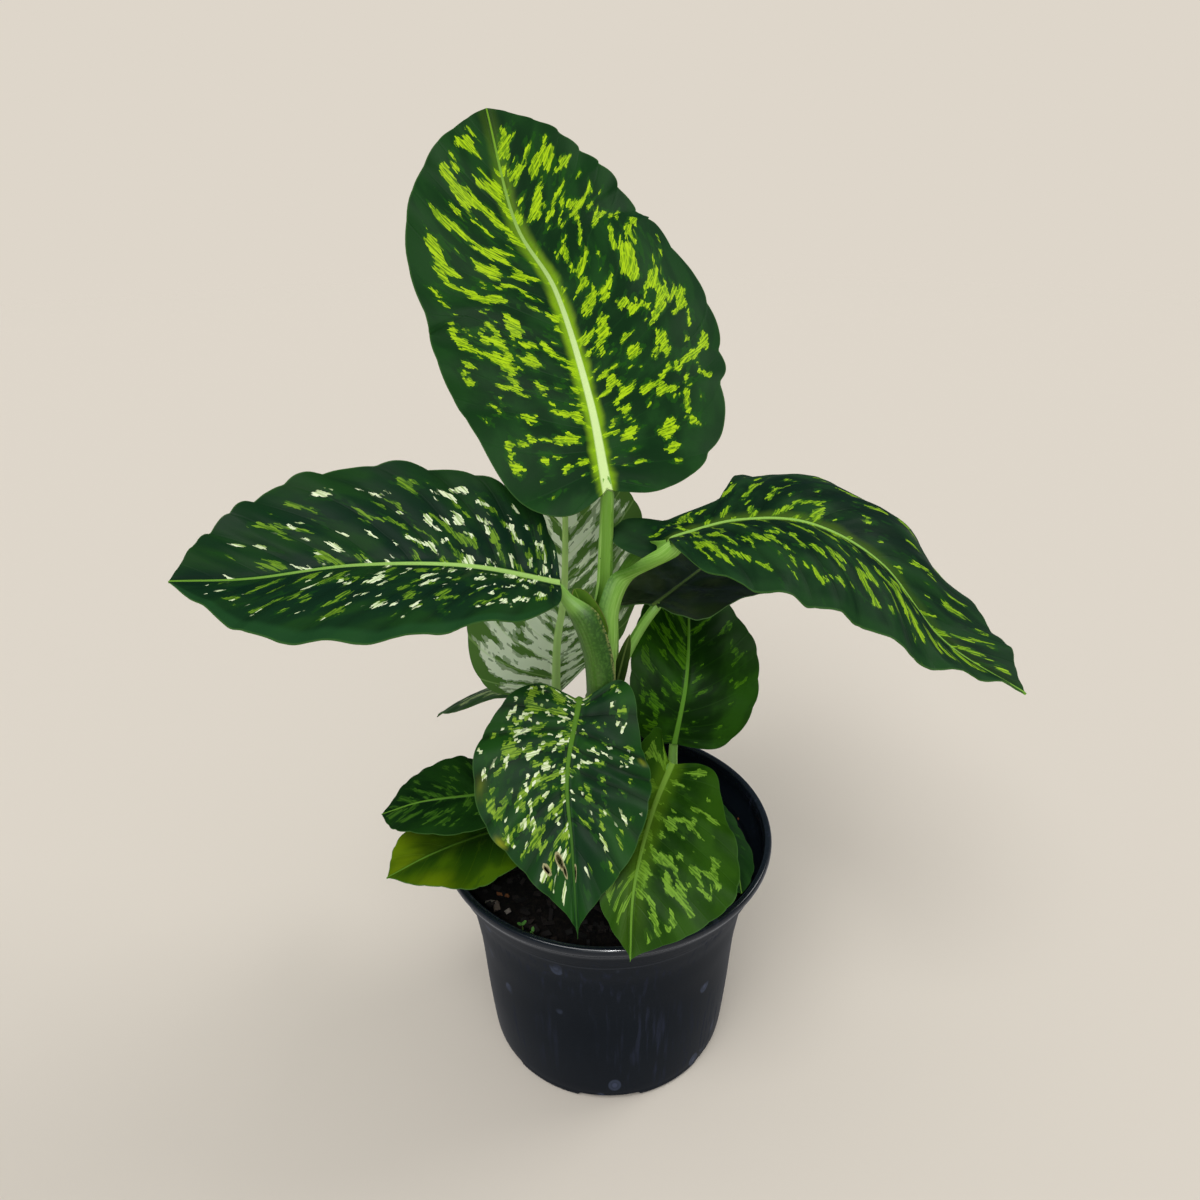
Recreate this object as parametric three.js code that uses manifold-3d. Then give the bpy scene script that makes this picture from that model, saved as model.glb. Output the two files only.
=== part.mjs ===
// A potted dieffenbachia: a cane and two short side shoots in a plastic nursery pot, with twelve leaves.
// Millimetres, +Z up. The origin is the centre of the pot's underside, and the plant faces -Y.
import * as THREE from 'three';
import { mergeVertices } from 'three/addons/utils/BufferGeometryUtils.js';
import Module from 'manifold-3d';

// Pot
const potHeight = 116;
const rimRadius = 76;
const footRadius = 58;
const potWall = 1.8;
const potFloor = 2.2;
const potSides = 44;
const potSide = [[60.3, 30], [62, 60], [65.2, 84], [68.4, 96], [70.2, 101]]; // radius and height of its wall
const drainSlots = 6;
const drainSlot = { width: 28, height: 3.2, reach: 16 };

// Soil
const soilLevel = 100;
const soilRoughness = 1.6;
const barkChips = 18;

// Fits
const gap = 0.3; // left between pieces that touch
const bladeThickness = 0.8;
const stemDepth = 30; // how far the stems stand down in the soil
const sheathWall = 1.4;

// Lobes that are set apart: where their waist is along the margin (0 to 1), and their neck's half length
const waistPlace = 0.22;
const waistLength = 0.06;
const lobeNeck = 12;

const colors = {
  pot: 0x1d2329,
  soil: 0x241b15,
  stalk: 0x7fae4e,
  seedling: 0x6fae3a,
};

// Each leaf blade. rib: points along the midrib from the petiole to the tip. up: which way the upper face
// looks, at the base and at the tip. Pairs give the left and the right half, looking along the midrib.
// wide: half width. lobe: how far the base reaches back past the petiole, and span: the share of the margin
// that it takes. droop: how far the lobe hangs when it reaches back 20. peak: under 1 puts the widest place
// nearer the base, over 1 nearer the tip. ends: bluntness of the base's two halves and of the tip, lower is
// blunter. fold: degrees that a half rises from the midrib. curl: degrees that it bends further by its edge.
// wave: height and number of the edge's waves. A lobe that is set apart also has waist: the share by which
// the margin draws in beyond it, and tilt and hang: the degrees that it stands up by and how far it sinks.
const plainBase = { span: [0.32, 0.32], waist: [0, 0], tilt: [0, 0], hang: [0, 0] };
const leaves = [
  {
    name: 'top_leaf', color: 0x2c5a1e, rows: 24,
    rib: [[1, 8, 277], [-6, 39, 306], [-20, 74, 343], [-38, 98, 369], [-51, 129, 414]],
    up: [[-0.02, -0.69, 0.73], [0.15, -0.72, 0.67]],
    wide: [58, 77], lobe: [22, 16], droop: [3, 3], peak: [0.9, 0.97], ends: [1.3, 1.3, 0.88],
    fold: [6, 4], curl: [-23, -44], wave: [1.6, 7],
  },
  {
    name: 'left_leaf', color: 0x1f4a26, rows: 24,
    rib: [[-18, -6, 242], [-55, -6, 250], [-97, -11, 253], [-135, -20, 252], [-161, -30, 256]],
    up: [[0.08, -0.34, 0.94], [-0.08, -0.46, 0.88]],
    wide: [52, 46], lobe: [9, 1], droop: [2, 2], peak: [0.98, 0.9], ends: [0.9, 0.9, 1.04],
    fold: [28, 22], curl: [-22, -8], wave: [1.6, 7],
  },
  {
    name: 'right_leaf', color: 0x1f4a22, rows: 24,
    rib: [[25, -4, 260], [52, -3, 267], [80, -5, 266], [107, -12, 252], [131, -25, 225], [158, -43, 212]],
    up: [[0.03, -0.03, 1], [0.8, -0.58, 0.12]],
    wide: [64, 57], lobe: [31, 1], droop: [0, 0], peak: [0.88, 0.65], ends: [1.15, 0.6, 1.4],
    fold: [14, 30], curl: [-60, -52], wave: [1.8, 7],
    span: [0.23, 0.32], waist: [0.62, 0], tilt: [36, 0], hang: [13, 0],
  },
  {
    name: 'dark_leaf', color: 0x19281a, rows: 14,
    rib: [[21, 13, 223], [46, 42, 228], [68, 70, 231], [83, 86, 231]],
    up: [[0, 0.03, 1], [0.2, -0.2, 0.95]],
    wide: [34, 33], lobe: [9, 10], droop: [1, 1], peak: [0.86, 0.87], ends: [0.75, 0.75, 1],
    fold: [-10, 6], curl: [-10, -6], wave: [1.6, 4],
  },
  {
    name: 'round_leaf', color: 0x25501f, rows: 14,
    rib: [[32, 18, 147], [37, 25, 175], [40, 48, 192], [42, 84, 204]],
    up: [[0.08, -0.7, 0.71], [0.2, -0.7, 0.68]],
    wide: [27, 36], lobe: [5, 5], droop: [1, 1], peak: [0.85, 0.84], ends: [0.76, 0.76, 1.2],
    fold: [8, 4], curl: [-10, -18], wave: [1.2, 4],
  },
  {
    name: 'front_leaf', color: 0x24502a, rows: 20,
    rib: [[-11, -16, 194], [-16, -39, 173], [-14, -58, 152], [-12, -78, 125]],
    up: [[0, -0.65, 0.76], [0, -0.94, 0.35]],
    wide: [34, 38], lobe: [16, 9], droop: [2, 2], peak: [0.79, 0.71], ends: [0.95, 1.15, 2.7],
    fold: [12, 10], curl: [-13, -16], wave: [1.4, 6], span: [0.26, 0.26],
  },
  {
    name: 'front_right_leaf', color: 0x3b6a2a, rows: 18,
    rib: [[28, -16, 161], [18, -40, 153], [10, -66, 139], [8, -83, 118]],
    up: [[0.07, -0.42, 0.91], [0.06, -0.6, 0.8]],
    wide: [40, 19], lobe: [9, 25], droop: [1, 1], peak: [1.14, 0.84], ends: [0.68, 0.7, 1.85],
    fold: [14, -2], curl: [-3, -16], wave: [1, 5], span: [0.32, 0.36],
  },
  {
    name: 'upper_left_leaf', color: 0x25502a, rows: 12,
    rib: [[-40, -24, 154], [-55, -32, 158], [-76, -36, 158], [-94, -34, 150]],
    up: [[-0.1, -0.4, 0.91], [-0.1, -0.2, 0.97]],
    wide: [18, 21], lobe: [4, 4], droop: [1, 1], peak: [0.88, 0.8], ends: [0.75, 0.75, 1.2],
    fold: [8, 3], curl: [-10, -12], wave: [0.8, 3],
  },
  {
    name: 'lower_left_leaf', color: 0x4a7a22, rows: 12,
    rib: [[-36, -28, 140], [-56, -35, 138], [-73, -44, 137], [-89, -56, 136]],
    up: [[-0.1, -0.3, 0.95], [-0.32, -0.32, 0.89]],
    wide: [24, 21], lobe: [4, 4], droop: [1, 1], peak: [0.87, 0.83], ends: [0.72, 0.72, 1.4],
    fold: [7, 8], curl: [-11, -5], wave: [0.6, 3],
  },
  {
    name: 'small_right_leaf', color: 0x1f4a26, rows: 10,
    rib: [[37, -8, 138], [46, -27, 134], [54, -40, 125], [56, -47, 117]],
    up: [[0.3, -0.3, 0.9], [0.44, -0.3, 0.85]],
    wide: [14, 17], lobe: [3, 3], droop: [1, 1], peak: [0.85, 0.85], ends: [0.75, 0.75, 0.93],
    fold: [3, 6], curl: [-11, -10], wave: [0.6, 3],
  },
  {
    name: 'back_leaf', color: 0x8fae7a, rows: 18,
    rib: [[-24, 36, 163], [-23, 46, 187], [-19, 52, 213], [-17, 51, 270]],
    up: [[-0.2, 0.97, -0.07], [-0.02, 0.99, -0.14]],
    wide: [43, 45], lobe: [-8, 6], droop: [1, 1], peak: [1.12, 0.82], ends: [0.74, 0.74, 0.82],
    fold: [14, 4], curl: [14, 8], wave: [1.6, 5],
  },
  {
    name: 'back_left_leaf', color: 0x6d7f5a, rows: 12,
    rib: [[-27, 62, 150], [-55, 71, 146], [-72, 79, 135], [-88, 87, 121]],
    up: [[-0.34, 0.59, 0.74], [-0.33, 0.43, 0.84]],
    wide: [26, 26], lobe: [5, 5], droop: [1, 1], peak: [0.86, 0.85], ends: [0.75, 0.75, 0.9],
    fold: [2, 10], curl: [-28, -17], wave: [0.8, 3],
  },
].map((leaf) => ({ ...plainBase, ...leaf }));

// The green stalks that carry the blades: each is a cane with its petioles, grown as one body.
// A petiole runs along its route from radius to radius. Its groove faces open. sheath: the radius of its
// winged foot, how far up that reaches (0 to 1), and how far round it wraps, in degrees. flaps: the free
// ends of sheaths, shaped as small blades.
const plainFlap = {
  ...plainBase, rows: 8, columns: [-1, -0.3, 0.3, 1], lobe: [1, 1], droop: [0, 0], peak: [0.8, 0.8],
  fold: [8, 8], wave: [0, 1],
};
const stalks = [
  {
    name: 'main_stalk',
    cane: { route: [[-2, 3, soilLevel - stemDepth], [-3, 3, 140], [-3, 2, 188]], radius: [8, 6] },
    petioles: [
      { leaf: 'top_leaf', route: [[-3, 3, 178], [-1, 8, 208], [0, 12, 240]], radius: [4, 2.6],
        open: [0, -0.9, 0.4], sheath: [5, 0.5, 110] },
      { leaf: 'left_leaf', route: [[-4.5, -5, 176], [-5.5, -6, 205], [-10, -7, 224]], radius: [3.6, 2.6],
        open: [0.9, 0.25, 0.2], sheath: [7, 0.78, 125] },
      { leaf: 'right_leaf', route: [[0, 0, 178], [0.5, 1, 208], [1.5, 5, 227], [9, 9, 241]], radius: [5.4, 4],
        open: [-0.9, 0.3, 0.3], sheath: [6.6, 0.85, 100] },
      { leaf: 'dark_leaf', route: [[-1, 5, 172], [6, 9, 194], [14, 12, 210]], radius: [3, 2],
        open: [-0.6, 0, 0.8], sheath: [4.4, 0.45, 110] },
      { leaf: 'front_leaf', route: [[-4, 0, 158], [-8, -9, 181]], radius: [3, 2],
        open: [0, -0.3, 0.9], sheath: [4, 0.4, 100] },
      { leaf: 'back_leaf', route: [[-5, 6, 140], [-14, 18, 152]], radius: [3, 2],
        open: [0, 0.3, 0.9], sheath: [4, 0.4, 100] },
      { leaf: 'back_left_leaf', route: [[-5, 7, 122], [-12, 34, 140]], radius: [3, 2],
        open: [0, 0.3, 0.9], sheath: [4, 0.4, 100] },
    ],
    flaps: [
      { rib: [[-3, -5, 216], [-8.5, -5, 229], [-12.5, -4, 239]], up: [[0.2, -0.9, 0.3], [0.3, -0.7, 0.6]],
        wide: [5, 6.5], ends: [0.7, 0.7, 0.7], curl: [30, 30] },
      { rib: [[3.5, -3, 188], [7, -3, 205], [10, -2, 217]], up: [[0, -0.9, 0.4], [0, -0.9, 0.4]],
        wide: [2.6, 3], ends: [0.7, 0.7, 1.2], curl: [-30, -30] },
    ],
  },
  {
    name: 'right_stalk',
    cane: { route: [[26, 9, soilLevel - stemDepth], [28, 7, 104], [30, 5, 126]], radius: [5, 4] },
    petioles: [
      { leaf: 'round_leaf', route: [[29, 7, 112], [31, 12, 132]], radius: [2.6, 1.9],
        open: [0, -0.9, 0.3], sheath: [3.6, 0.5, 110] },
      { leaf: 'front_right_leaf', route: [[30, 5, 116], [31, -5, 144]], radius: [2.6, 1.9],
        open: [0, -0.4, 0.9], sheath: [3.6, 0.5, 110] },
      { leaf: 'small_right_leaf', route: [[30, 5, 108], [35, -2, 126]], radius: [2.2, 1.5],
        open: [0.2, 0.4, 0.9], sheath: [3, 0.5, 110] },
    ],
  },
  {
    name: 'left_stalk',
    cane: { route: [[-23, -7, soilLevel - stemDepth], [-25, -9, 104], [-27, -12, 122]], radius: [4.5, 3.6] },
    petioles: [
      { leaf: 'upper_left_leaf', route: [[-27, -12, 112], [-33, -18, 140]], radius: [2.4, 1.6],
        open: [0.5, 0.2, 0.8], sheath: [3.4, 0.5, 110] },
      { leaf: 'lower_left_leaf', route: [[-26, -11, 106], [-31, -21, 128]], radius: [2.4, 1.6],
        open: [0.4, 0.5, 0.8], sheath: [3.4, 0.5, 110] },
    ],
  },
];

const seedlings = [
  { name: 'seedling_left', at: [-36.5, -50], height: 4, turn: 20, size: 2 },
  { name: 'seedling_right', at: [-32, -53.5], height: 3.4, turn: 75, size: 1.6 },
];

const wasm = await Module();
wasm.setup();

const vector = (p) => new THREE.Vector3(...p);
const lerp = THREE.MathUtils.lerp;
const rad = THREE.MathUtils.degToRad;

// A small seeded random source, so that every build is the same.
function randomFrom(seed) {
  let state = seed;
  return () => {
    state = (state * 1664525 + 1013904223) % 4294967296;
    return state / 4294967296;
  };
}

function geometryFrom(points, triangles) {
  const geometry = new THREE.BufferGeometry();
  const places = points.flatMap(({ x, y, z }) => [x, y, z]);
  geometry.setAttribute('position', new THREE.Float32BufferAttribute(places, 3));
  geometry.setIndex(triangles.flat());
  return geometry;
}

function solidOf(geometry) {
  const bare = geometry.clone();
  bare.deleteAttribute('normal');
  bare.deleteAttribute('uv');
  const merged = mergeVertices(bare, 1e-4);
  const vertProperties = new Float32Array(merged.attributes.position.array);
  const triVerts = new Uint32Array(merged.index.array);
  return new wasm.Manifold(new wasm.Mesh({ numProp: 3, vertProperties, triVerts }));
}

// A cut or joined solid as a geometry: its largest outer skin, without loose scraps or sealed hollows.
function geometryOf(solid) {
  const { triVerts, vertProperties } = solid.getMesh();
  const shellOf = Array.from({ length: vertProperties.length / 3 }, (_, vertex) => vertex);
  const root = (vertex) => {
    while (shellOf[vertex] !== vertex) vertex = shellOf[vertex] = shellOf[shellOf[vertex]];
    return vertex;
  };
  const point = (vertex) => new THREE.Vector3().fromArray(vertProperties, 3 * vertex);
  const triangles = [];
  for (let k = 0; k < triVerts.length; k += 3) {
    const triangle = Array.from(triVerts.slice(k, k + 3));
    triangles.push(triangle);
    shellOf[root(triangle[0])] = root(triangle[1]);
    shellOf[root(triangle[1])] = root(triangle[2]);
  }
  const volumes = new Map();
  for (const [a, b, c] of triangles) {
    const volume = point(a).dot(point(b).cross(point(c))) / 6;
    volumes.set(root(a), (volumes.get(root(a)) ?? 0) + volume);
  }
  const [largest] = [...volumes].sort(([, a], [, b]) => b - a)[0];
  const kept = triangles.filter(([a]) => root(a) === largest);
  const used = [...new Set(kept.flat())];
  const place = new Map(used.map((vertex, index) => [vertex, index]));
  return geometryFrom(used.map(point), kept.map((triangle) => triangle.map((vertex) => place.get(vertex))));
}

const placed = (geometry, matrix) => solidOf(geometry.clone().applyMatrix4(matrix));

// A closed loft through rings of equal numbers of points, with a flat cap at each end.
function loft(rings) {
  const count = rings[0].length;
  const points = rings.flat();
  const triangles = [];
  for (let i = 0; i + 1 < rings.length; i++) {
    for (let j = 0; j < count; j++) {
      const a = i * count + j;
      const b = i * count + ((j + 1) % count);
      triangles.push([a, b, b + count], [a, b + count, a + count]);
    }
  }
  for (const [start, flip] of [[0, true], [(rings.length - 1) * count, false]]) {
    const center = points.length;
    const middle = new THREE.Vector3();
    for (let j = 0; j < count; j++) middle.add(points[start + j]);
    points.push(middle.divideScalar(count));
    for (let j = 0; j < count; j++) {
      const edge = [start + j, start + ((j + 1) % count)];
      triangles.push(flip ? [edge[1], edge[0], center] : [edge[0], edge[1], center]);
    }
  }
  return geometryFrom(points, triangles);
}

// Blade

// Where the vein that meets the margin at u (0 base, 1 tip) leaves the midrib, and where it ends.
function margin(leaf, length, u, side) {
  const bluntness = lerp(leaf.ends[side], leaf.ends[2], u);
  const waist = leaf.waist[side] * Math.exp(-(((u - waistPlace) / waistLength) ** 2));
  const width = (1 - waist) * leaf.wide[side] * Math.sin(Math.PI * u ** leaf.peak[side]) ** bluntness;
  const spacing = u - (0.55 * Math.sin(2 * Math.PI * u)) / (2 * Math.PI);
  const backward = leaf.lobe[side] * Math.sin(Math.PI * Math.min(u / leaf.span[side], 1));
  return { start: length * u ** 1.5, end: length * spacing - backward, width: Math.max(width, 0) };
}

function ribOf(leaf) {
  const curve = new THREE.CatmullRomCurve3(leaf.rib.map(vector), false, 'catmullrom', 0.5);
  curve.arcLengthDivisions = 400;
  return { curve, length: curve.getLength() };
}

// A point of the blade's middle surface, v running from -1, the left edge, to 1, the right edge.
function bladePoint(leaf, rib, u, v) {
  const side = v >= 0 ? 1 : 0;
  const out = Math.abs(v);
  const { start, end, width } = margin(leaf, rib.length, u, side);
  const along = start + (end - start) * out ** 1.3;
  const onRib = THREE.MathUtils.clamp(along / rib.length, 0, 1);
  const tangent = rib.curve.getTangentAt(onRib);
  const origin = rib.curve.getPointAt(onRib).addScaledVector(tangent, along - onRib * rib.length);
  const up = vector(leaf.up[0]).normalize().lerp(vector(leaf.up[1]).normalize(), onRib);
  up.addScaledVector(tangent, -up.dot(tangent)).normalize();
  const across = tangent.clone().cross(up);

  const inLobe = THREE.MathUtils.smoothstep(-along, -lobeNeck, lobeNeck);
  const fold = rad(leaf.fold[side] + leaf.tilt[side] * inLobe);
  const bend = rad(leaf.curl[side]) / leaf.wide[side];
  const reach = width * out;
  const behind = Math.max(0, -along) / 20;
  const sideways = (Math.sin(fold + bend * reach) - Math.sin(fold)) / bend;
  let rise = (Math.cos(fold) - Math.cos(fold + bend * reach)) / bend;
  const [height, count] = leaf.wave;
  const fade = Math.min(1, 4 * u, 5 * (1 - u)) * out ** 2.2;
  rise += height * fade * Math.sin(2 * Math.PI * count * u + 1.7 * (1 - side));
  rise -= leaf.droop[side] * behind ** 2;
  rise -= leaf.hang[side] * inLobe * THREE.MathUtils.smoothstep(out, 0, 0.6);
  const point = origin.addScaledVector(across, Math.sign(v) * sideways).addScaledVector(up, rise);
  return { point, up };
}

// The blade as a closed solid: two like faces, which meet at the base and at the tip, and a thin rim.
function bladeGeometry(leaf, thickness = bladeThickness) {
  const rib = ribOf(leaf);
  const columns = leaf.columns ?? [-1, -0.78, -0.42, -0.05, 0.05, 0.42, 0.78, 1];
  const points = [];
  for (const face of [1, -1]) {
    for (let i = 0; i <= leaf.rows; i++) {
      const u = i / leaf.rows;
      const row = i === 0 || i === leaf.rows ? [0.05] : columns;
      for (const v of row) {
        const { point, up } = bladePoint(leaf, rib, u, row.length === 1 ? 0 : v);
        points.push(point.addScaledVector(up, (face * thickness) / 2));
      }
    }
  }
  const n = columns.length;
  const perFace = points.length / 2;
  const base = 0;
  const tip = perFace - 1;
  const at = (i, j) => 1 + (i - 1) * n + j;
  const face = [];
  for (let j = 0; j + 1 < n; j++) {
    face.push([base, at(1, j + 1), at(1, j)]);
    face.push([tip, at(leaf.rows - 1, j), at(leaf.rows - 1, j + 1)]);
  }
  for (let i = 1; i + 1 < leaf.rows; i++) {
    for (let j = 0; j + 1 < n; j++) {
      const [a, b, c, d] = [at(i, j), at(i, j + 1), at(i + 1, j + 1), at(i + 1, j)];
      // the diagonals mirror each other about the midrib
      face.push(...(j < (n - 1) / 2 ? [[a, b, d], [b, c, d]] : [[a, b, c], [a, c, d]]));
    }
  }
  const rim = [base];
  for (let i = 1; i < leaf.rows; i++) rim.push(at(i, n - 1));
  rim.push(tip);
  for (let i = leaf.rows - 1; i > 0; i--) rim.push(at(i, 0));
  const triangles = face.map(([a, b, c]) => [a, b, c]);
  triangles.push(...face.map(([a, b, c]) => [a + perFace, c + perFace, b + perFace]));
  rim.forEach((a, k) => {
    const b = rim[(k + 1) % rim.length];
    triangles.push([a, a + perFace, b + perFace], [a, b + perFace, b]);
  });
  return geometryFrom(points, triangles);
}

// Stalk

function routeCurve(points) {
  return new THREE.CatmullRomCurve3(points.map(vector), false, 'catmullrom', 0.5);
}

// A round cane, a little wider at the rings that old leaves have left on it.
function caneGeometry({ route, radius, ringSwell = 0.6, sides = 10, steps = 10 }) {
  const curve = routeCurve(route);
  const rings = [];
  for (let i = 0; i <= steps; i++) {
    const t = i / steps;
    const middle = curve.getPointAt(t);
    const swell = i % 3 === 1 ? ringSwell : 0;
    const ring = [];
    for (let j = 0; j < sides; j++) {
      const angle = (2 * Math.PI * j) / sides;
      const r = lerp(radius[0], radius[1], t) + swell;
      ring.push(new THREE.Vector3(r * Math.cos(angle), r * Math.sin(angle), 0).add(middle));
    }
    rings.push(ring);
  }
  return loft(rings);
}

// A petiole: round at its back and flat in front, where it opens into a winged sheath above its solid foot.
function petioleGeometry({ route, radius, open, sheath }) {
  const curve = routeCurve(route);
  const [sheathRadius, sheathReach, sheathWrap] = sheath;
  const steps = 8;
  const outer = 6;
  const rings = [];
  for (let i = 0; i <= steps; i++) {
    const t = i / steps;
    const winged = 1 - THREE.MathUtils.smoothstep(t, sheathReach - 0.12, sheathReach + 0.06);
    const stem = lerp(radius[0], radius[1], t);
    const r = lerp(stem, sheathRadius, winged);
    const wrap = rad(lerp(140, sheathWrap, winged));
    const hollow = winged * THREE.MathUtils.smoothstep(t, 0.3, 0.5);
    const tangent = curve.getTangentAt(t);
    const front = vector(open).addScaledVector(tangent, -vector(open).dot(tangent)).normalize();
    const across = front.clone().cross(tangent);
    const middle = curve.getPointAt(t).addScaledVector(front, r - stem);
    const on = (angle, size) => middle.clone()
      .addScaledVector(front, -Math.cos(angle) * size)
      .addScaledVector(across, Math.sin(angle) * size);
    const ring = [];
    for (let j = 0; j < outer; j++) ring.push(on(lerp(-wrap, wrap, j / (outer - 1)), r));
    for (let j = 1; j < outer - 1; j++) {
      const angle = lerp(wrap, -wrap, j / (outer - 1));
      const back = on(wrap, r).lerp(on(-wrap, r), j / (outer - 1));
      const inside = on(angle, r - sheathWall * (0.5 + Math.cos(angle) ** 2));
      ring.push(back.lerp(inside, hollow));
    }
    rings.push(ring);
  }
  return loft(rings);
}

function stalkSolid(stalk) {
  let solid = solidOf(caneGeometry(stalk.cane));
  for (const petiole of stalk.petioles) {
    const leaf = leaves.find(({ name }) => name === petiole.leaf);
    const rib = ribOf(leaf);
    const { point, up } = bladePoint(leaf, rib, 0, 0);
    const tip = point.addScaledVector(up, -bladeThickness / 2 - petiole.radius[1] * 0.5).toArray();
    solid = solid.add(solidOf(petioleGeometry({ ...petiole, route: [...petiole.route, tip] })));
  }
  for (const flap of stalk.flaps ?? []) solid = solid.add(solidOf(bladeGeometry({ ...plainFlap, ...flap })));
  return solid;
}

// Pot: a thin tapered wall that flares into a broad lip, with drain slots round its foot.
function potGeometry() {
  const inner = (radius) => radius - potWall;
  const outside = [
    [footRadius - 3.5, 0], [footRadius, 2.6], ...potSide,
    [71, 101.8], [73.6, 108], [rimRadius - 0.6, 113], [rimRadius, potHeight - 1],
  ];
  const lip = [
    [rimRadius - 0.8, potHeight], [rimRadius - 2.6, potHeight], [rimRadius - 3.4, potHeight - 1.2],
  ];
  const inside = outside.slice(1, -2).reverse().map(([r, z]) => [inner(r), z]);
  inside[inside.length - 1] = [inner(footRadius), potFloor];
  const profile = [[0, 0], ...outside, ...lip, ...inside, [0, potFloor]];
  const spun = new THREE.LatheGeometry(profile.map(([r, z]) => new THREE.Vector2(r, z)), potSides);
  let solid = solidOf(spun.rotateX(Math.PI / 2));
  const slot = new THREE.BoxGeometry(drainSlot.reach, drainSlot.width, 2 * drainSlot.height);
  for (let k = 0; k < drainSlots; k++) {
    const turn = new THREE.Matrix4().makeRotationZ((2 * Math.PI * (k + 0.5)) / drainSlots);
    const out = new THREE.Matrix4().makeTranslation(footRadius + 2 - drainSlot.reach / 2, 0, 0);
    solid = solid.subtract(placed(slot, turn.multiply(out)));
  }
  return geometryOf(solid);
}

// The inside radius of the pot's wall at a height.
function potInside(z) {
  const steps = [[footRadius, 0], ...potSide];
  const k = Math.max(1, steps.findIndex(([, height]) => height >= z));
  const [[r0, z0], [r1, z1]] = [steps[k - 1], steps[k]];
  return lerp(r0, r1, (z - z0) / (z1 - z0)) - potWall;
}

// Soil: a filling with a rough top that bark chips stick out of, and an open hole for each stem.
function soilGeometry(stalkSolids) {
  const sides = 36;
  const random = randomFrom(7);
  const rings = [];
  for (const z of [potFloor + gap, 30, 60, 84, soilLevel - 2]) {
    const r = potInside(z) - gap - 0.2;
    const ring = [];
    for (let j = 0; j < sides; j++) {
      const angle = (2 * Math.PI * j) / sides;
      ring.push(new THREE.Vector3(r * Math.cos(angle), r * Math.sin(angle), z));
    }
    rings.push(ring);
  }
  for (const share of [0.93, 0.74, 0.52, 0.28]) {
    const r = share * (potInside(soilLevel - 2) - gap);
    const ring = [];
    for (let j = 0; j < sides; j++) {
      const angle = (2 * Math.PI * j) / sides;
      const z = soilLevel + soilRoughness * (random() - 0.5) * 2 + 1.5 * (1 - share);
      ring.push(new THREE.Vector3(r * Math.cos(angle), r * Math.sin(angle), z));
    }
    rings.push(ring);
  }
  let solid = solidOf(loft(rings));
  for (let k = 0; k < barkChips; k++) {
    const angle = 2.399963 * k;
    const r = 60 * Math.sqrt((k + 0.5) / barkChips);
    const [length, width, height] = [3 + 5 * random(), 2 + 2.5 * random(), 1.2 + 1.4 * random()];
    const tilt = new THREE.Euler(0.7 * (random() - 0.5), 0.7 * (random() - 0.5), Math.PI * random());
    const chip = new THREE.BoxGeometry(length, width, height);
    const matrix = new THREE.Matrix4().makeRotationFromEuler(tilt);
    matrix.setPosition(r * Math.cos(angle), r * Math.sin(angle), soilLevel + 1.2);
    solid = solid.add(placed(chip, matrix));
  }
  return geometryOf(stalkSolids.reduce((sum, hole) => sum.subtract(hole), solid));
}

// The hole that a stem stands in.
function stemHole({ cane }) {
  const radius = cane.radius.map((r) => r + 1);
  const route = cane.route.map(([x, y, z], k) => [x, y, k === 0 ? z - gap - 0.2 : z]);
  return solidOf(caneGeometry({ route, radius }));
}

// A seedling: a thread of a stem with two round seed leaves, standing in the soil.
function seedlingGeometry({ at, height, turn, size }) {
  const foot = soilLevel - 3;
  const route = [[...at, foot], [...at, soilLevel + height]];
  let solid = solidOf(caneGeometry({ route, radius: [0.5, 0.4], ringSwell: 0, sides: 6, steps: 1 }));
  for (const side of [0, 180]) {
    const direction = rad(turn + side);
    const end = [at[0] + size * Math.cos(direction), at[1] + size * Math.sin(direction)];
    const seedLeaf = {
      ...plainFlap, rows: 4,
      rib: [[...at, soilLevel + height - 0.5], [...end, soilLevel + height + 1]],
      up: [[0, 0, 1], [0, 0, 1]], wide: [size * 0.42, size * 0.42], lobe: [0.1, 0.1],
      ends: [0.8, 0.8, 0.7], curl: [-8, -8],
    };
    solid = solid.add(solidOf(bladeGeometry(seedLeaf)));
  }
  return solid;
}

function seedlingHole({ at }) {
  const hole = new THREE.CylinderGeometry(1.1, 1.1, 12, 12).rotateX(Math.PI / 2);
  return placed(hole, new THREE.Matrix4().makeTranslation(...at, soilLevel + 3 - gap));
}

const plant = new THREE.Group();

function addPiece(name, geometry, color, roughness) {
  const material = new THREE.MeshStandardMaterial({ color, roughness, metalness: 0 });
  const mesh = new THREE.Mesh(geometry, material);
  mesh.name = name;
  plant.add(mesh);
}

addPiece('pot', potGeometry(), colors.pot, 0.4);
const holes = [...stalks.map(stemHole), ...seedlings.map(seedlingHole)];
addPiece('soil', soilGeometry(holes), colors.soil, 1);

const grownBlades = leaves.map((leaf) => solidOf(bladeGeometry(leaf, bladeThickness + 2 * gap)));
for (const stalk of stalks) {
  const solid = grownBlades.reduce((rest, blade) => rest.subtract(blade), stalkSolid(stalk));
  addPiece(stalk.name, geometryOf(solid), colors.stalk, 0.5);
}
for (const leaf of leaves) {
  addPiece(`${leaf.name}_blade`, bladeGeometry(leaf), leaf.color, 0.45);
}
for (const seedling of seedlings) {
  addPiece(seedling.name, geometryOf(seedlingGeometry(seedling)), colors.seedling, 0.6);
}

export default plant;
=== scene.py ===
# A potted dieffenbachia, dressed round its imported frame: blades, petioles, canes, seedlings, pot and soil.
# Metres, +Z up, origin under the middle of the pot. Plant and pot settings are in millimetres, times mm.
import math
import random

import bmesh
import bpy
from mathutils import Matrix, Vector, noise
from mathutils.geometry import interpolate_bezier


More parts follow.
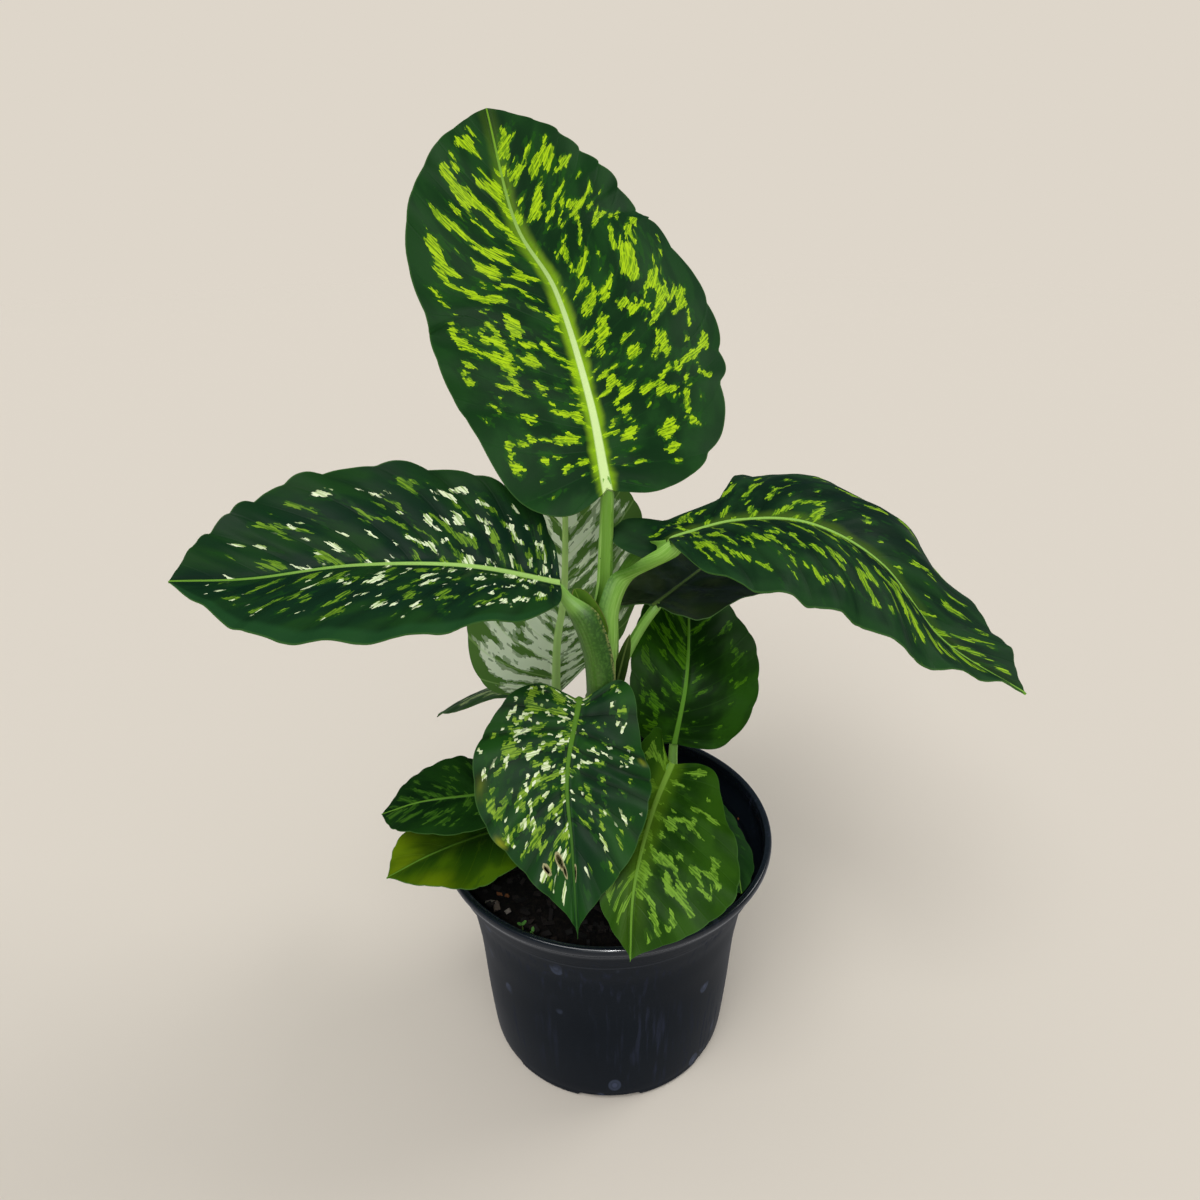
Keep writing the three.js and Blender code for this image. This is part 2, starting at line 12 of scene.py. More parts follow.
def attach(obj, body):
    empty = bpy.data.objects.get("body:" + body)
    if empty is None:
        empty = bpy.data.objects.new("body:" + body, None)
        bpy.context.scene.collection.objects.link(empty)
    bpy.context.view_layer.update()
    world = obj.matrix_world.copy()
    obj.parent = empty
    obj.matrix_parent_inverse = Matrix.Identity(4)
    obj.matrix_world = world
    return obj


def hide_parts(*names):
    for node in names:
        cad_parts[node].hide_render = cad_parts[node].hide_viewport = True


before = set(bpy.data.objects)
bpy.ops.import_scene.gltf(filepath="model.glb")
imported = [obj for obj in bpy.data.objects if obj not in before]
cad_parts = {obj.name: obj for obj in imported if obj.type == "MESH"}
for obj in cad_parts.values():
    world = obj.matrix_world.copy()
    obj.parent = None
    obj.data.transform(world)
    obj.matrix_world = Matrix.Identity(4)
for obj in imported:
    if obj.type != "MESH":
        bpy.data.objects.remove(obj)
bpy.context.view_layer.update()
mm = 0.001
soilLevel = 100  # how high the soil stands


def lerp(a, b, t):
    return a + (b - a) * t


def smoothStep(value, low, high):
    t = min(max((value - low) / (high - low), 0.0), 1.0)
    return t * t * (3 - 2 * t)


def srgb(red, green, blue):
    # a colour as the eye names it, 0 to 255, made linear
    channels = [c / 255 for c in (red, green, blue)]
    return tuple(c / 12.92 if c < 0.04045 else ((c + 0.055) / 1.055) ** 2.4 for c in channels) + (1.0,)


class Route:
    # a smooth line through a few points, asked for by real distance along it
    def __init__(self, points, steps=24):
        points = [Vector(p) for p in points]
        before = points[0] * 2 - points[1]
        after = points[-1] * 2 - points[-2]
        ends = [before, *points, after]
        self.line = [points[0]]
        for a, b, c, d in zip(ends, ends[1:], ends[2:], ends[3:]):
            self.line += interpolate_bezier(b, b + (c - a) / 6, c - (d - b) / 6, c, steps + 1)[1:]
        self.walked = [0.0]
        for a, b in zip(self.line, self.line[1:]):
            self.walked.append(self.walked[-1] + (b - a).length)
        self.length = self.walked[-1]

    def point(self, distance):
        low, high = 0, len(self.line) - 1
        while high - low > 1:
            middle = (low + high) // 2
            low, high = (middle, high) if self.walked[middle] <= distance else (low, middle)
        share = (distance - self.walked[low]) / (self.walked[high] - self.walked[low])
        return self.line[low].lerp(self.line[high], min(max(share, 0.0), 1.0))

    def tangent(self, distance, reach=0.6):
        low = max(distance - reach, 0.0)
        high = min(distance + reach, self.length)
        return (self.point(high) - self.point(low)).normalized()


def newObject(name, data):
    made = bpy.data.objects.new(name, data)
    bpy.context.scene.collection.objects.link(made)
    return made


def meshObject(name, bm):
    mesh = bpy.data.meshes.new(name)
    bm.to_mesh(mesh)
    bm.free()
    return newObject(name, mesh)


def newGrid(columns, rows, *names):
    # a flat grid from -1 to 1, each of whose points keeps three numbers under each name
    bm = bmesh.new()
    layers = [bm.verts.layers.float_vector.new(name) for name in names]
    bmesh.ops.create_grid(bm, x_segments=columns, y_segments=rows, size=1.0)
    return bm, *layers


def finishPiece(name, bm, material, nodes, sharp):
    # the bmesh as an object of the plant, smooth but for edges sharper than sharp degrees
    bmesh.ops.remove_doubles(bm, verts=bm.verts, dist=2e-6)
    bmesh.ops.recalc_face_normals(bm, faces=bm.faces)
    for face in bm.faces:
        face.smooth = True
    for edge in bm.edges:
        edge.smooth = edge.calc_face_angle(0.0) < math.radians(sharp)
    piece = meshObject(name, bm)
    piece.data.materials.append(material)
    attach(piece, "root")
    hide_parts(*nodes)
    return piece


# Shader helpers. A value is another node's socket or a constant.

def put(tree, socket, value):
    if isinstance(value, bpy.types.NodeSocket):
        tree.links.new(value, socket)
    else:
        socket.default_value = value


def add(tree, kind, inputs=None, **options):
    node = tree.nodes.new("ShaderNode" + kind)
    for name, value in options.items():
        setattr(node, name, value)
    for name, value in (inputs or {}).items():
        put(tree, node.inputs[name], value)
    return node


def calc(tree, operation, a, b=0.0, c=0.0):
    return add(tree, "Math", {0: a, 1: b, 2: c}, operation=operation).outputs[0]


def times(tree, a, b):
    return calc(tree, "MULTIPLY", a, b)


def vectorCalc(tree, operation, a, b):
    return add(tree, "VectorMath", {0: a, 1: b}, operation=operation).outputs[0]


def rise(tree, value, low, high, kind="SMOOTHSTEP"):
    # 0 below low, 1 above high; low may be the larger of the two
    inputs = {"Value": value, "From Min": low, "From Max": high}
    return add(tree, "MapRange", inputs, interpolation_type=kind).outputs[0]


def mixColor(tree, share, a, b):
    # a and b may also be red, green and blue from 0 to 255
    a, b = (srgb(*color) if isinstance(color, tuple) else color for color in (a, b))
    return add(tree, "Mix", {0: share, 6: a, 7: b}, data_type="RGBA").outputs[2]


def speckle(tree, place, scale, detail=2.0, roughness=0.5):
    inputs = {"Vector": place, "Scale": scale, "Detail": detail, "Roughness": roughness}
    return add(tree, "TexNoise", inputs).outputs[0]


def objectPlace(tree):
    return add(tree, "TexCoord").outputs["Object"]


def attribute(tree, name):
    # the three numbers that the mesh keeps under this name
    vector = add(tree, "Attribute", attribute_name=name).outputs["Vector"]
    return add(tree, "SeparateXYZ", {0: vector}).outputs


def newMaterial(name):
    material = bpy.data.materials.new(name)
    material.use_nodes = True
    tree = material.node_tree
    tree.nodes.clear()
    shader = tree.nodes.new("ShaderNodeBsdfPrincipled")
    output = tree.nodes.new("ShaderNodeOutputMaterial")
    tree.links.new(shader.outputs[0], output.inputs[0])
    return material, tree, shader


def connect(tree, shader, color, roughness, sheen, height, distance, strength):
    bump = add(tree, "Bump", {"Height": height, "Distance": distance, "Strength": strength})
    put(tree, shader.inputs["Base Color"], color)
    put(tree, shader.inputs["Roughness"], roughness)
    put(tree, shader.inputs["Specular IOR Level"], sheen)
    put(tree, shader.inputs["Normal"], bump.outputs[0])


def groupWith(name, inputs, outputs):
    # a node group that gives single numbers
    tree = bpy.data.node_groups.new(name, "ShaderNodeTree")
    for label, kind in inputs.items():
        tree.interface.new_socket(label, in_out="INPUT", socket_type="NodeSocket" + kind)
    for label in outputs:
        tree.interface.new_socket(label, in_out="OUTPUT", socket_type="NodeSocketFloat")
    entry = tree.nodes.new("NodeGroupInput").outputs
    leave = tree.nodes.new("NodeGroupOutput").inputs
    return tree, entry, leave


def makeMarksGroup():
    # ragged marks made of small cells that lie along the side veins
    inputs = {"Place": "Vector", "Cell": "Vector", "Patch": "Vector", "Cover": "Float", "Seed": "Float"}
    tree, entry, leave = groupWith("leafMarks", inputs, ["Mask", "Muted"])
    waver = add(tree, "TexNoise", {"Vector": entry["Place"], "Scale": 260.0, "Detail": 3.0}).outputs["Color"]
    shifted = vectorCalc(tree, "SUBTRACT", waver, (0.5, 0.5, 0.5))
    shifted = vectorCalc(tree, "MULTIPLY", shifted, (0.003, 0.0025, 0.0))
    place = vectorCalc(tree, "ADD", entry["Place"], shifted)
    cells = vectorCalc(tree, "DIVIDE", place, entry["Cell"])
    cell = add(tree, "TexVoronoi", {"Vector": cells, "Scale": 1.0, "Randomness": 0.85},
               voronoi_dimensions="2D", distance="CHEBYCHEV").outputs["Position"]
    middle = vectorCalc(tree, "MULTIPLY", cell, entry["Cell"])
    middle = vectorCalc(tree, "DIVIDE", middle, entry["Patch"])
    seed = add(tree, "CombineXYZ", {2: entry["Seed"]}).outputs[0]
    field = speckle(tree, vectorCalc(tree, "ADD", middle, seed), 1.0, 2.2)
    level = calc(tree, "MULTIPLY_ADD", entry["Cover"], -0.42, 0.76)
    over = calc(tree, "SUBTRACT", field, level)
    tree.links.new(rise(tree, over, 0.0, 0.012, "LINEAR"), leave["Mask"])
    tree.links.new(rise(tree, over, -0.055, -0.035, "LINEAR"), leave["Muted"])
    return tree


def makeNetGroup():
    # the fine net between the side veins, and brush strokes that run along them
    inputs = {"Place": "Vector", "Phase": "Float"}
    tree, entry, leave = groupWith("veinNet", inputs, ["Side", "Valley", "Net", "Stroke"])
    wave = calc(tree, "ABSOLUTE", calc(tree, "SINE", times(tree, entry["Phase"], math.pi)))
    tree.links.new(rise(tree, wave, 0.16, 0.0), leave["Side"])
    tree.links.new(rise(tree, wave, 0.8, 0.0), leave["Valley"])
    cells = vectorCalc(tree, "MULTIPLY", entry["Place"], (320.0, 1100.0, 0.0))
    net = add(tree, "TexVoronoi", {"Vector": cells, "Scale": 1.0, "Randomness": 0.9},
              voronoi_dimensions="2D", feature="DISTANCE_TO_EDGE").outputs["Distance"]
    tree.links.new(rise(tree, net, 0.02, 0.2), leave["Net"])
    strokes = vectorCalc(tree, "MULTIPLY", entry["Place"], (110.0, 1500.0, 0.0))
    tree.links.new(speckle(tree, strokes, 1.0), leave["Stroke"])
    return tree


leafMarks = makeMarksGroup()
veinNet = makeNetGroup()
print("shader groups made")


# Blades. rib: points along the midrib from the petiole to the tip. up: where the upper face looks, at the
# base and at the tip. Pairs are the left and the right half, looking along the midrib.
# lobe: how far the base reaches back, span: its share of the margin, waist: how far the margin draws in
# beyond it, droop, tilt and hang: how it sags, stands up and sinks. peak, ends: the outline's fullness.
# fold, curl: degrees that a half rises and bends. wave: height and number of the edge's waves.
# veins, puff: side veins and how high the blade swells between them. slant: how far a side vein climbs as
# it runs out, per length. notch: how deep the edge draws in at a vein. crinkle: height of smaller bumps.
# ribWide: half width of the midrib at base and tip. ridge, keel: its height above and depth below.
# spacing: from row to row of the mesh. holes, yellowed: places bitten through or turned yellow, as share of
# the length, share of the half width and radius.
# cover, creamCover: how much is marked, and how much bears cream patches, times coverAt or creamAt at the
# base left and right and at the tip left and right. Cream patches are the front leaf's own white spots, and
# on the left leaf painted highlight on its lime marks. cell, patch: size of a mark's cells and of the marks.
# fades: the shares of the length at base and tip where the marks thin out. plainEdge: where they end.
# strip: a plain band along each edge.
# glow: a bright band along the midrib. valleyShade: painted shade at side veins. gloss: roughness. sheen:
# shine.
bladeDefaults = dict(
    slant=0.35, crinkle=0.25, notch=(0.7, 0.7), keel=(2.6, 0.3), ridge=0.5, thickness=0.5, spacing=1.25,
    holes=(), yellowed=(), span=(0.32, 0.32), waist=(0, 0), tilt=(0, 0), hang=(0, 0), droop=(1, 1),
    coverAt=(1, 1, 1, 1), creamCover=0.0, patch=(9, 6), cell=(1.3, 0.6), fades=(0.16, 0.1),
    plainEdge=(0.93, 0.93), strip=(0, 0), glow=0.0, glowWide=6, valleyShade=0.0, gloss=0.36, sheen=0.05,
    nodes=None, glowColor=(120, 160, 28), yellow=(150, 158, 34), under=(74, 110, 58),
    underMark=(120, 152, 84), margin=(70, 112, 48), cream=(234, 244, 204), ribTip=(96, 140, 44),
)
blades = [
    dict(name="top_leaf", slot="lime_marked_leaf", seed=3.0,
         rib=[(1, 8, 277), (-6, 39, 306), (-20, 74, 343), (-38, 98, 369), (-51, 129, 414)],
         up=[(-0.02, -0.69, 0.73), (0.15, -0.72, 0.67)], wide=(58, 77), lobe=(22, 16), droop=(3, 3),
         peak=(0.9, 0.97), ends=(1.3, 1.3, 0.88), fold=(6, 4), curl=(-23, -44), wave=(1.6, 7), veins=15,
         puff=0.35, notch=(0.3, 3.2), crinkle=0.15, ribWide=(2.3, 0.4), keel=(3.0, 0.4),
         cover=0.67, coverAt=(0.96, 0.7, 0.76, 0.88), patch=(8.5, 6), fades=(0.3, 0.1),
         plainEdge=(0.96, 0.95), glow=0.75, glowWide=5.5,
         dark=(14, 46, 18), middle=(26, 66, 24), mark=(172, 208, 20), markDeep=(126, 172, 8),
         muted=(30, 82, 12), ribBase=(206, 230, 156), ribTip=(110, 156, 30), glowColor=(144, 190, 16)),
    dict(name="left_leaf", slot="cream_marked_leaf", seed=12.0,
         rib=[(-18, -6, 242), (-55, -6, 250), (-97, -11, 253), (-135, -20, 252), (-161, -30, 256)],
         up=[(0.08, -0.34, 0.94), (-0.08, -0.46, 0.88)], wide=(52, 46), lobe=(9, 1), droop=(2, 2),
         peak=(0.98, 0.9), ends=(0.9, 0.9, 1.04), fold=(28, 22), curl=(-22, -8), wave=(1.6, 7), veins=13,
         puff=0.9, notch=(0.2, 1.8), crinkle=0.5, ribWide=(2.1, 0.6), valleyShade=0.3,
         cover=0.45, coverAt=(0.8, 0.9, 1, 1), creamCover=0.47, creamAt=(0.92, 1, 0.74, 0.62), patch=(8, 5),
         creamPatch=(6, 5), plainEdge=(0.88, 0.93), strip=(0.8, 0),
         dark=(14, 42, 26), middle=(26, 62, 24), mark=(112, 150, 36), markDeep=(42, 90, 20),
         muted=(24, 66, 20), ribBase=(164, 204, 108), ribTip=(104, 150, 50), stripColor=(34, 76, 38)),
    dict(name="right_leaf", slot="lime_marked_leaf", seed=21.0,
         rib=[(25, -4, 260), (52, -3, 267), (80, -5, 266), (107, -12, 252), (131, -25, 225), (158, -43, 212)],
         up=[(0.03, -0.03, 1), (0.8, -0.58, 0.12)], wide=(64, 57), lobe=(31, 1), span=(0.23, 0.32),
         waist=(0.62, 0), droop=(0, 0), tilt=(36, 0), hang=(13, 0), peak=(0.88, 0.65),
         ends=(1.15, 0.6, 1.4), fold=(14, 30), curl=(-60, -52), wave=(1.8, 7), veins=14, puff=0.8,
         notch=(1.6, 0.6), crinkle=0.5, ribWide=(1.9, 0.5), valleyShade=0.3,
         cover=0.48, coverAt=(0.95, 1.15, 0.9, 1), patch=(8, 5), plainEdge=(0.93, 0.92), strip=(0, 0.6),
         glow=0.25,
         dark=(14, 40, 22), middle=(30, 64, 30), mark=(148, 188, 30), markDeep=(80, 130, 18),
         muted=(26, 72, 18), ribBase=(150, 194, 88), ribTip=(120, 168, 56), stripColor=(34, 72, 32),
         under=(70, 112, 44)),
    # its own green is dark, and its colours are darkened further as painted shade, for the right leaf above
    # shades it
    dict(name="dark_leaf", slot="dark_leaf", seed=31.0,
         rib=[(21, 13, 223), (46, 42, 228), (68, 70, 231), (83, 86, 231)],
         up=[(0, 0.03, 1), (0.2, -0.2, 0.95)], wide=(34, 33), lobe=(9, 10), peak=(0.86, 0.87),
         ends=(0.75, 0.75, 1), fold=(-10, 6), curl=(-10, -6), wave=(1.6, 4), veins=9, puff=0.8, crinkle=1.2,
         ribWide=(1.3, 0.3), sheen=0.2, cover=0.25,
         dark=(24, 44, 18), middle=(50, 64, 34), mark=(50, 66, 32), markDeep=(40, 54, 26),
         muted=(22, 32, 16), ribBase=(92, 116, 52), ribTip=(56, 80, 36)),
    dict(name="round_leaf", slot="faintly_marked_leaf", seed=41.0,
         rib=[(32, 18, 147), (37, 25, 175), (40, 48, 192), (42, 84, 204)],
         up=[(0.08, -0.7, 0.71), (0.2, -0.7, 0.68)], wide=(27, 36), lobe=(5, 5), peak=(0.85, 0.84),
         ends=(0.76, 0.76, 1.2), fold=(8, 4), curl=(-10, -18), wave=(1.2, 4), veins=10, puff=0.35,
         crinkle=0.2, ribWide=(1.5, 0.4),
         cover=0.54, coverAt=(0.9, 0.7, 1.4, 0.5), patch=(9, 5), fades=(0.1, 0.05),
         dark=(16, 46, 6), middle=(38, 82, 10), mark=(74, 126, 14), markDeep=(54, 104, 8),
         muted=(30, 68, 8), ribBase=(96, 148, 48)),
    dict(name="front_leaf", slot="cream_marked_leaf", seed=51.0,
         rib=[(-11, -16, 194), (-16, -39, 173), (-14, -58, 152), (-12, -78, 125)],
         up=[(0, -0.65, 0.76), (0, -0.94, 0.35)], wide=(34, 38), lobe=(16, 9), span=(0.26, 0.26),
         droop=(2, 2), peak=(0.79, 0.71), ends=(0.95, 1.15, 2.7), fold=(12, 10), curl=(-13, -16),
         wave=(1.4, 6), veins=11, slant=0.12, puff=1.1, crinkle=0.45, ribWide=(1.5, 0.35), spacing=0.7,
         holes=[(0.81, -0.12, 1.1), (0.765, 0.42, 1.0), (0.725, 0.45, 1.2), (0.7, 0.72, 0.8)],
         yellowed=[(0.33, -0.93, 1.8), (0.44, 0.94, 3.2), (0.56, 0.97, 2.2)], valleyShade=0.6,
         cover=0.55, coverAt=(1.05, 1.2, 0.45, 0.65), creamCover=0.4, creamAt=(0.95, 1, 0.8, 1.1),
         patch=(5.5, 3.8), creamPatch=(3.4, 3), cell=(1.2, 0.9), fades=(0.08, 0.3), plainEdge=(0.97, 1.02),
         dark=(22, 52, 28), middle=(32, 76, 24), mark=(136, 172, 48), markDeep=(58, 106, 20),
         muted=(34, 82, 20), ribBase=(84, 128, 32), ribTip=(40, 84, 30)),
    dict(name="front_right_leaf", slot="lime_marked_leaf", seed=61.0,
         rib=[(28, -16, 161), (18, -40, 153), (10, -66, 139), (8, -83, 118)],
         up=[(0.07, -0.42, 0.91), (0.06, -0.6, 0.8)], wide=(40, 19), lobe=(9, 25), span=(0.32, 0.36),
         peak=(1.14, 0.84), ends=(0.68, 0.7, 1.85), fold=(14, -2), curl=(-3, -16), wave=(1, 5), veins=11,
         slant=0.22, puff=0.5, crinkle=0.3, ribWide=(1.6, 0.35),
         cover=0.54, patch=(7, 4.5), glow=0.6, glowWide=8,
         dark=(24, 56, 8), middle=(44, 82, 12), mark=(120, 164, 50), markDeep=(84, 130, 30),
         muted=(40, 78, 12), ribBase=(124, 164, 60), glowColor=(92, 132, 22)),
    dict(name="upper_left_leaf", slot="faintly_marked_leaf", seed=71.0,
         rib=[(-40, -24, 154), (-55, -32, 158), (-76, -36, 158), (-94, -34, 150)],
         up=[(-0.1, -0.4, 0.91), (-0.1, -0.2, 0.97)], wide=(18, 21), lobe=(4, 4), peak=(0.88, 0.8),
         ends=(0.75, 0.75, 1.2), fold=(8, 3), curl=(-10, -12), wave=(0.8, 3), veins=9, puff=0.4,
         ribWide=(1.1, 0.3), keel=(1.7, 0.25), cover=0.55, patch=(6, 3),
         dark=(10, 38, 8), middle=(22, 58, 12), mark=(58, 98, 24), markDeep=(36, 76, 12),
         muted=(24, 60, 10), ribBase=(72, 116, 34)),
    dict(name="lower_left_leaf", slot="plain_leaf", seed=81.0,
         rib=[(-36, -28, 140), (-56, -35, 138), (-73, -44, 137), (-89, -56, 136)],
         up=[(-0.1, -0.3, 0.95), (-0.32, -0.32, 0.89)], wide=(24, 21), lobe=(4, 4), peak=(0.87, 0.83),
         ends=(0.72, 0.72, 1.4), fold=(7, 8), curl=(-11, -5), wave=(0.6, 3), veins=9, puff=0.3,
         ribWide=(1.0, 0.3), keel=(1.7, 0.25), yellowed=[(0.9, 0.5, 14), (0.75, 0.95, 10), (0.7, -0.95, 9)],
         cover=0.1,
         dark=(30, 62, 6), middle=(66, 98, 4), mark=(70, 106, 20), markDeep=(58, 92, 12), muted=(48, 80, 8),
         ribBase=(56, 92, 14), yellow=(108, 132, 6)),
    dict(name="small_right_leaf", slot="faintly_marked_leaf", seed=91.0,
         rib=[(37, -8, 138), (46, -27, 134), (54, -40, 125), (56, -47, 117)],
         up=[(0.3, -0.3, 0.9), (0.44, -0.3, 0.85)], wide=(14, 17), lobe=(3, 3), peak=(0.85, 0.85),
         ends=(0.75, 0.75, 0.93), fold=(3, 6), curl=(-11, -10), wave=(0.6, 3), veins=8, puff=0.3,
         ribWide=(0.9, 0.3), keel=(1.4, 0.2), cover=0.3, patch=(6, 3),
         dark=(16, 48, 14), middle=(28, 66, 20), mark=(40, 84, 20), markDeep=(32, 72, 16),
         muted=(24, 60, 16), ribBase=(66, 108, 40)),
    dict(name="back_leaf", slot="pale_leaf", seed=101.0,
         rib=[(-24, 36, 163), (-23, 46, 187), (-19, 52, 213), (-17, 51, 270)],
         up=[(-0.2, 0.97, -0.07), (-0.02, 0.99, -0.14)], wide=(43, 45), lobe=(-8, 6), peak=(1.12, 0.82),
         ends=(0.74, 0.74, 0.82), fold=(14, 4), curl=(14, 8), wave=(1.6, 5), veins=11, puff=0.7,
         crinkle=0.4, ribWide=(2.4, 1.2), keel=(2.4, 0.8),
         cover=0.64, patch=(13, 4.5), cell=(1.8, 0.8), fades=(0.05, 0.05), plainEdge=(0.97, 0.97),
         dark=(24, 56, 24), middle=(40, 84, 30), mark=(188, 208, 140), markDeep=(120, 160, 70),
         muted=(70, 112, 50), ribBase=(186, 226, 136), ribTip=(180, 220, 126), under=(92, 132, 62),
         underMark=(240, 255, 226)),
    dict(name="back_left_leaf", slot="pale_leaf", seed=111.0,
         rib=[(-27, 62, 150), (-55, 71, 146), (-72, 79, 135), (-88, 87, 121)],
         up=[(-0.34, 0.59, 0.74), (-0.33, 0.43, 0.84)], wide=(26, 26), lobe=(5, 5), peak=(0.86, 0.85),
         ends=(0.75, 0.75, 0.9), fold=(2, 10), curl=(-28, -17), wave=(0.8, 3), veins=9, puff=0.5,
         crinkle=0.5, ribWide=(1.2, 0.4), keel=(1.6, 0.3), cover=0.6, patch=(8, 4),
         dark=(30, 58, 24), middle=(48, 84, 34), mark=(150, 170, 110), markDeep=(100, 130, 70),
         muted=(60, 92, 44), ribBase=(116, 146, 76), under=(78, 96, 58), underMark=(124, 142, 98)),
]


def veinPhase(leaf, u, side):
    # side veins are a little unevenly spaced
    return leaf["veins"] * (u + 0.018 * noise.noise(Vector((5.3 * u, 3.0 * side, leaf["seed"]))))


def bladeVertex(leaf, u, v, face):
    # a point of the blade's upper (face 1) or lower (face -1) skin; v runs from -1, the left edge, to 1
    side = 1 if v >= 0 else 0
    out = abs(v)
    rib = leaf["rib"]
    length = rib.length
    bluntness = lerp(leaf["ends"][side], leaf["ends"][2], u)
    width = leaf["wide"][side] * max(math.sin(math.pi * u ** leaf["peak"][side]), 0.0) ** bluntness
    width *= 1 - leaf["waist"][side] * math.exp(-((u - 0.22) / 0.06) ** 2)
    climb = leaf["slant"] * width / length
    atEdge = abs(math.sin(math.pi * veinPhase(leaf, u - climb, side)))
    phase = veinPhase(leaf, u - climb * out, side)
    between = math.sin(math.pi * phase) ** 2
    width -= min(leaf["notch"][side] * (1 - atEdge) ** 1.3, 0.06 * width)
    # a row of the mesh leaves the midrib at start and meets the margin at end
    start = length * u ** 1.5
    spacing = u - 0.55 * math.sin(2 * math.pi * u) / (2 * math.pi)
    end = length * spacing - leaf["lobe"][side] * math.sin(math.pi * min(u / leaf["span"][side], 1))
    along = lerp(start, end, out ** 1.3)
    onRib = min(max(along / length, 0.0), 1.0)
    tangent = rib.tangent(onRib * length)
    origin = rib.point(onRib * length) + tangent * (along - onRib * length)
    up = Vector(leaf["up"][0]).normalized().lerp(Vector(leaf["up"][1]).normalized(), onRib)
    up = (up - tangent * up.dot(tangent)).normalized()
    across = tangent.cross(up) * (1 if side else -1)

    # each half rises by fold from the midrib and bends by curl on its way out
    inLobe = smoothStep(-along, -12, 12)
    fold = math.radians(leaf["fold"][side] + leaf["tilt"][side] * inLobe)
    bend = math.radians(leaf["curl"][side]) / leaf["wide"][side]
    reach = width * out
    turned = fold + bend * reach
    sideways = (math.sin(turned) - math.sin(fold)) / bend
    height = (math.cos(fold) - math.cos(turned)) / bend
    fade = min(1, 4 * u, 5 * (1 - u)) * out ** 2.2
    height += leaf["wave"][0] * fade * math.sin(2 * math.pi * leaf["wave"][1] * u + 1.7 * (1 - side))
    height -= leaf["droop"][side] * (max(0.0, -along) / 20) ** 2
    height -= leaf["hang"][side] * inLobe * smoothStep(out, 0.0, 0.6)
    normal = (up * math.cos(turned) - across * math.sin(turned)).normalized()
    middle = origin + across * sideways + up * height

    # the blade swells between its veins, and has its ridge above and its keel below
    body = smoothStep(reach, 1.0, 9.0) * min(1, 8 * u, 6 * (1 - u))
    swell = leaf["puff"] * (between - 0.5) * body * lerp(1.0, 0.45, out)
    spot = Vector((reach * (side * 2 - 1) / 13, length * u / 8, leaf["seed"]))
    swell += leaf["crinkle"] * body * (noise.noise(spot) + 0.4 * noise.noise(spot * 2.7))
    ribWide = lerp(*leaf["ribWide"], onRib ** 0.8)
    nearRib = max(0.0, 1 - (reach / ribWide) ** 2)
    thick = leaf["thickness"] / 2 * face
    if face > 0:
        thick += leaf["ridge"] * ribWide / leaf["ribWide"][0] * nearRib ** 0.5 * smoothStep(u, 0.0, 0.02)
        thick -= 0.5 * leaf["ridge"] * math.exp(-((reach - 1.8 * ribWide) / ribWide) ** 2)
    else:
        thick -= lerp(*leaf["keel"], onRib ** 0.8) * nearRib ** 0.5
    point = (middle + normal * (swell + thick)) * mm
    signedReach = reach * (side * 2 - 1) * mm
    veinward = length * (u - climb * out) * mm
    return point, (signedReach, veinward, out), (phase + 40 * side, 1.0 if face < 0 else 0.0, u)


def gridPlace(co):
    # where a point of the flat grid lies on the blade: along the midrib, and across from edge to edge
    return (co.y + 1) / 2, math.copysign(abs(co.x) ** 1.6, co.x)


def nearest(leaf, co, spots):
    # how near a grid point is to one of the spots: 1 on its middle, 0 on its rim, less beyond
    u, v = gridPlace(co)
    near = [-9.0]
    for spotU, spotV, radius in spots:
        along = (u - spotU) * leaf["rib"].length
        near.append(1 - math.hypot(along, (v - spotV) * leaf["wide"][1 if v > 0 else 0]) / radius)
    return max(near)


def makeBlade(settings):
    leaf = {**bladeDefaults, **settings, "rib": Route(settings["rib"])}
    rows = int(min(max(leaf["rib"].length / leaf["spacing"] * 1.5, 64), 220))
    columns = 2 * int(min(max(max(leaf["wide"]) / leaf["spacing"] * 0.78, 14), 44))
    bm, place, vein, blemish = newGrid(columns, rows, "place", "vein", "blemish")
    bitten = [face for face in bm.faces if nearest(leaf, face.calc_center_median(), leaf["holes"]) > 0]
    bmesh.ops.delete(bm, geom=bitten, context="FACES")
    grown = bmesh.ops.extrude_face_region(bm, geom=bm.faces[:])["geom"]
    upper = {item for item in grown if isinstance(item, bmesh.types.BMVert)}
    for vert in bm.verts:
        scarred = smoothStep(nearest(leaf, vert.co, leaf["holes"]), -2.2, -0.6)
        yellow = smoothStep(nearest(leaf, vert.co, leaf["yellowed"]), -0.3, 0.9)
        vert[blemish] = (scarred, yellow, 0.0)
        face = 1 if vert in upper else -1
        vert.co, vert[place], vert[vein] = bladeVertex(leaf, *gridPlace(vert.co), face)
    nodes = leaf["nodes"] or [leaf["name"] + "_blade"]
    finishPiece(leaf["name"], bm, leafMaterial(leaf), nodes, 50)


def halves(tree, rightHalf, pair):
    # a value of its own for the left and for the right half
    return calc(tree, "MULTIPLY_ADD", rightHalf, pair[1] - pair[0], pair[0])


def spread(tree, rightHalf, u, corners):
    # a value that changes over the blade: at the base left and right, then at the tip left and right
    base = halves(tree, rightHalf, corners[:2])
    tip = halves(tree, rightHalf, corners[2:])
    return calc(tree, "MULTIPLY_ADD", u, calc(tree, "SUBTRACT", tip, base), base)


def marksOf(tree, leaf, place, cover, patch, seed):
    cell, patch = ([size * mm for size in pair] + [1.0] for pair in (leaf["cell"], patch))
    inputs = {"Place": place, "Cell": cell, "Patch": patch, "Cover": cover, "Seed": seed}
    return add(tree, "Group", inputs, node_tree=leafMarks).outputs


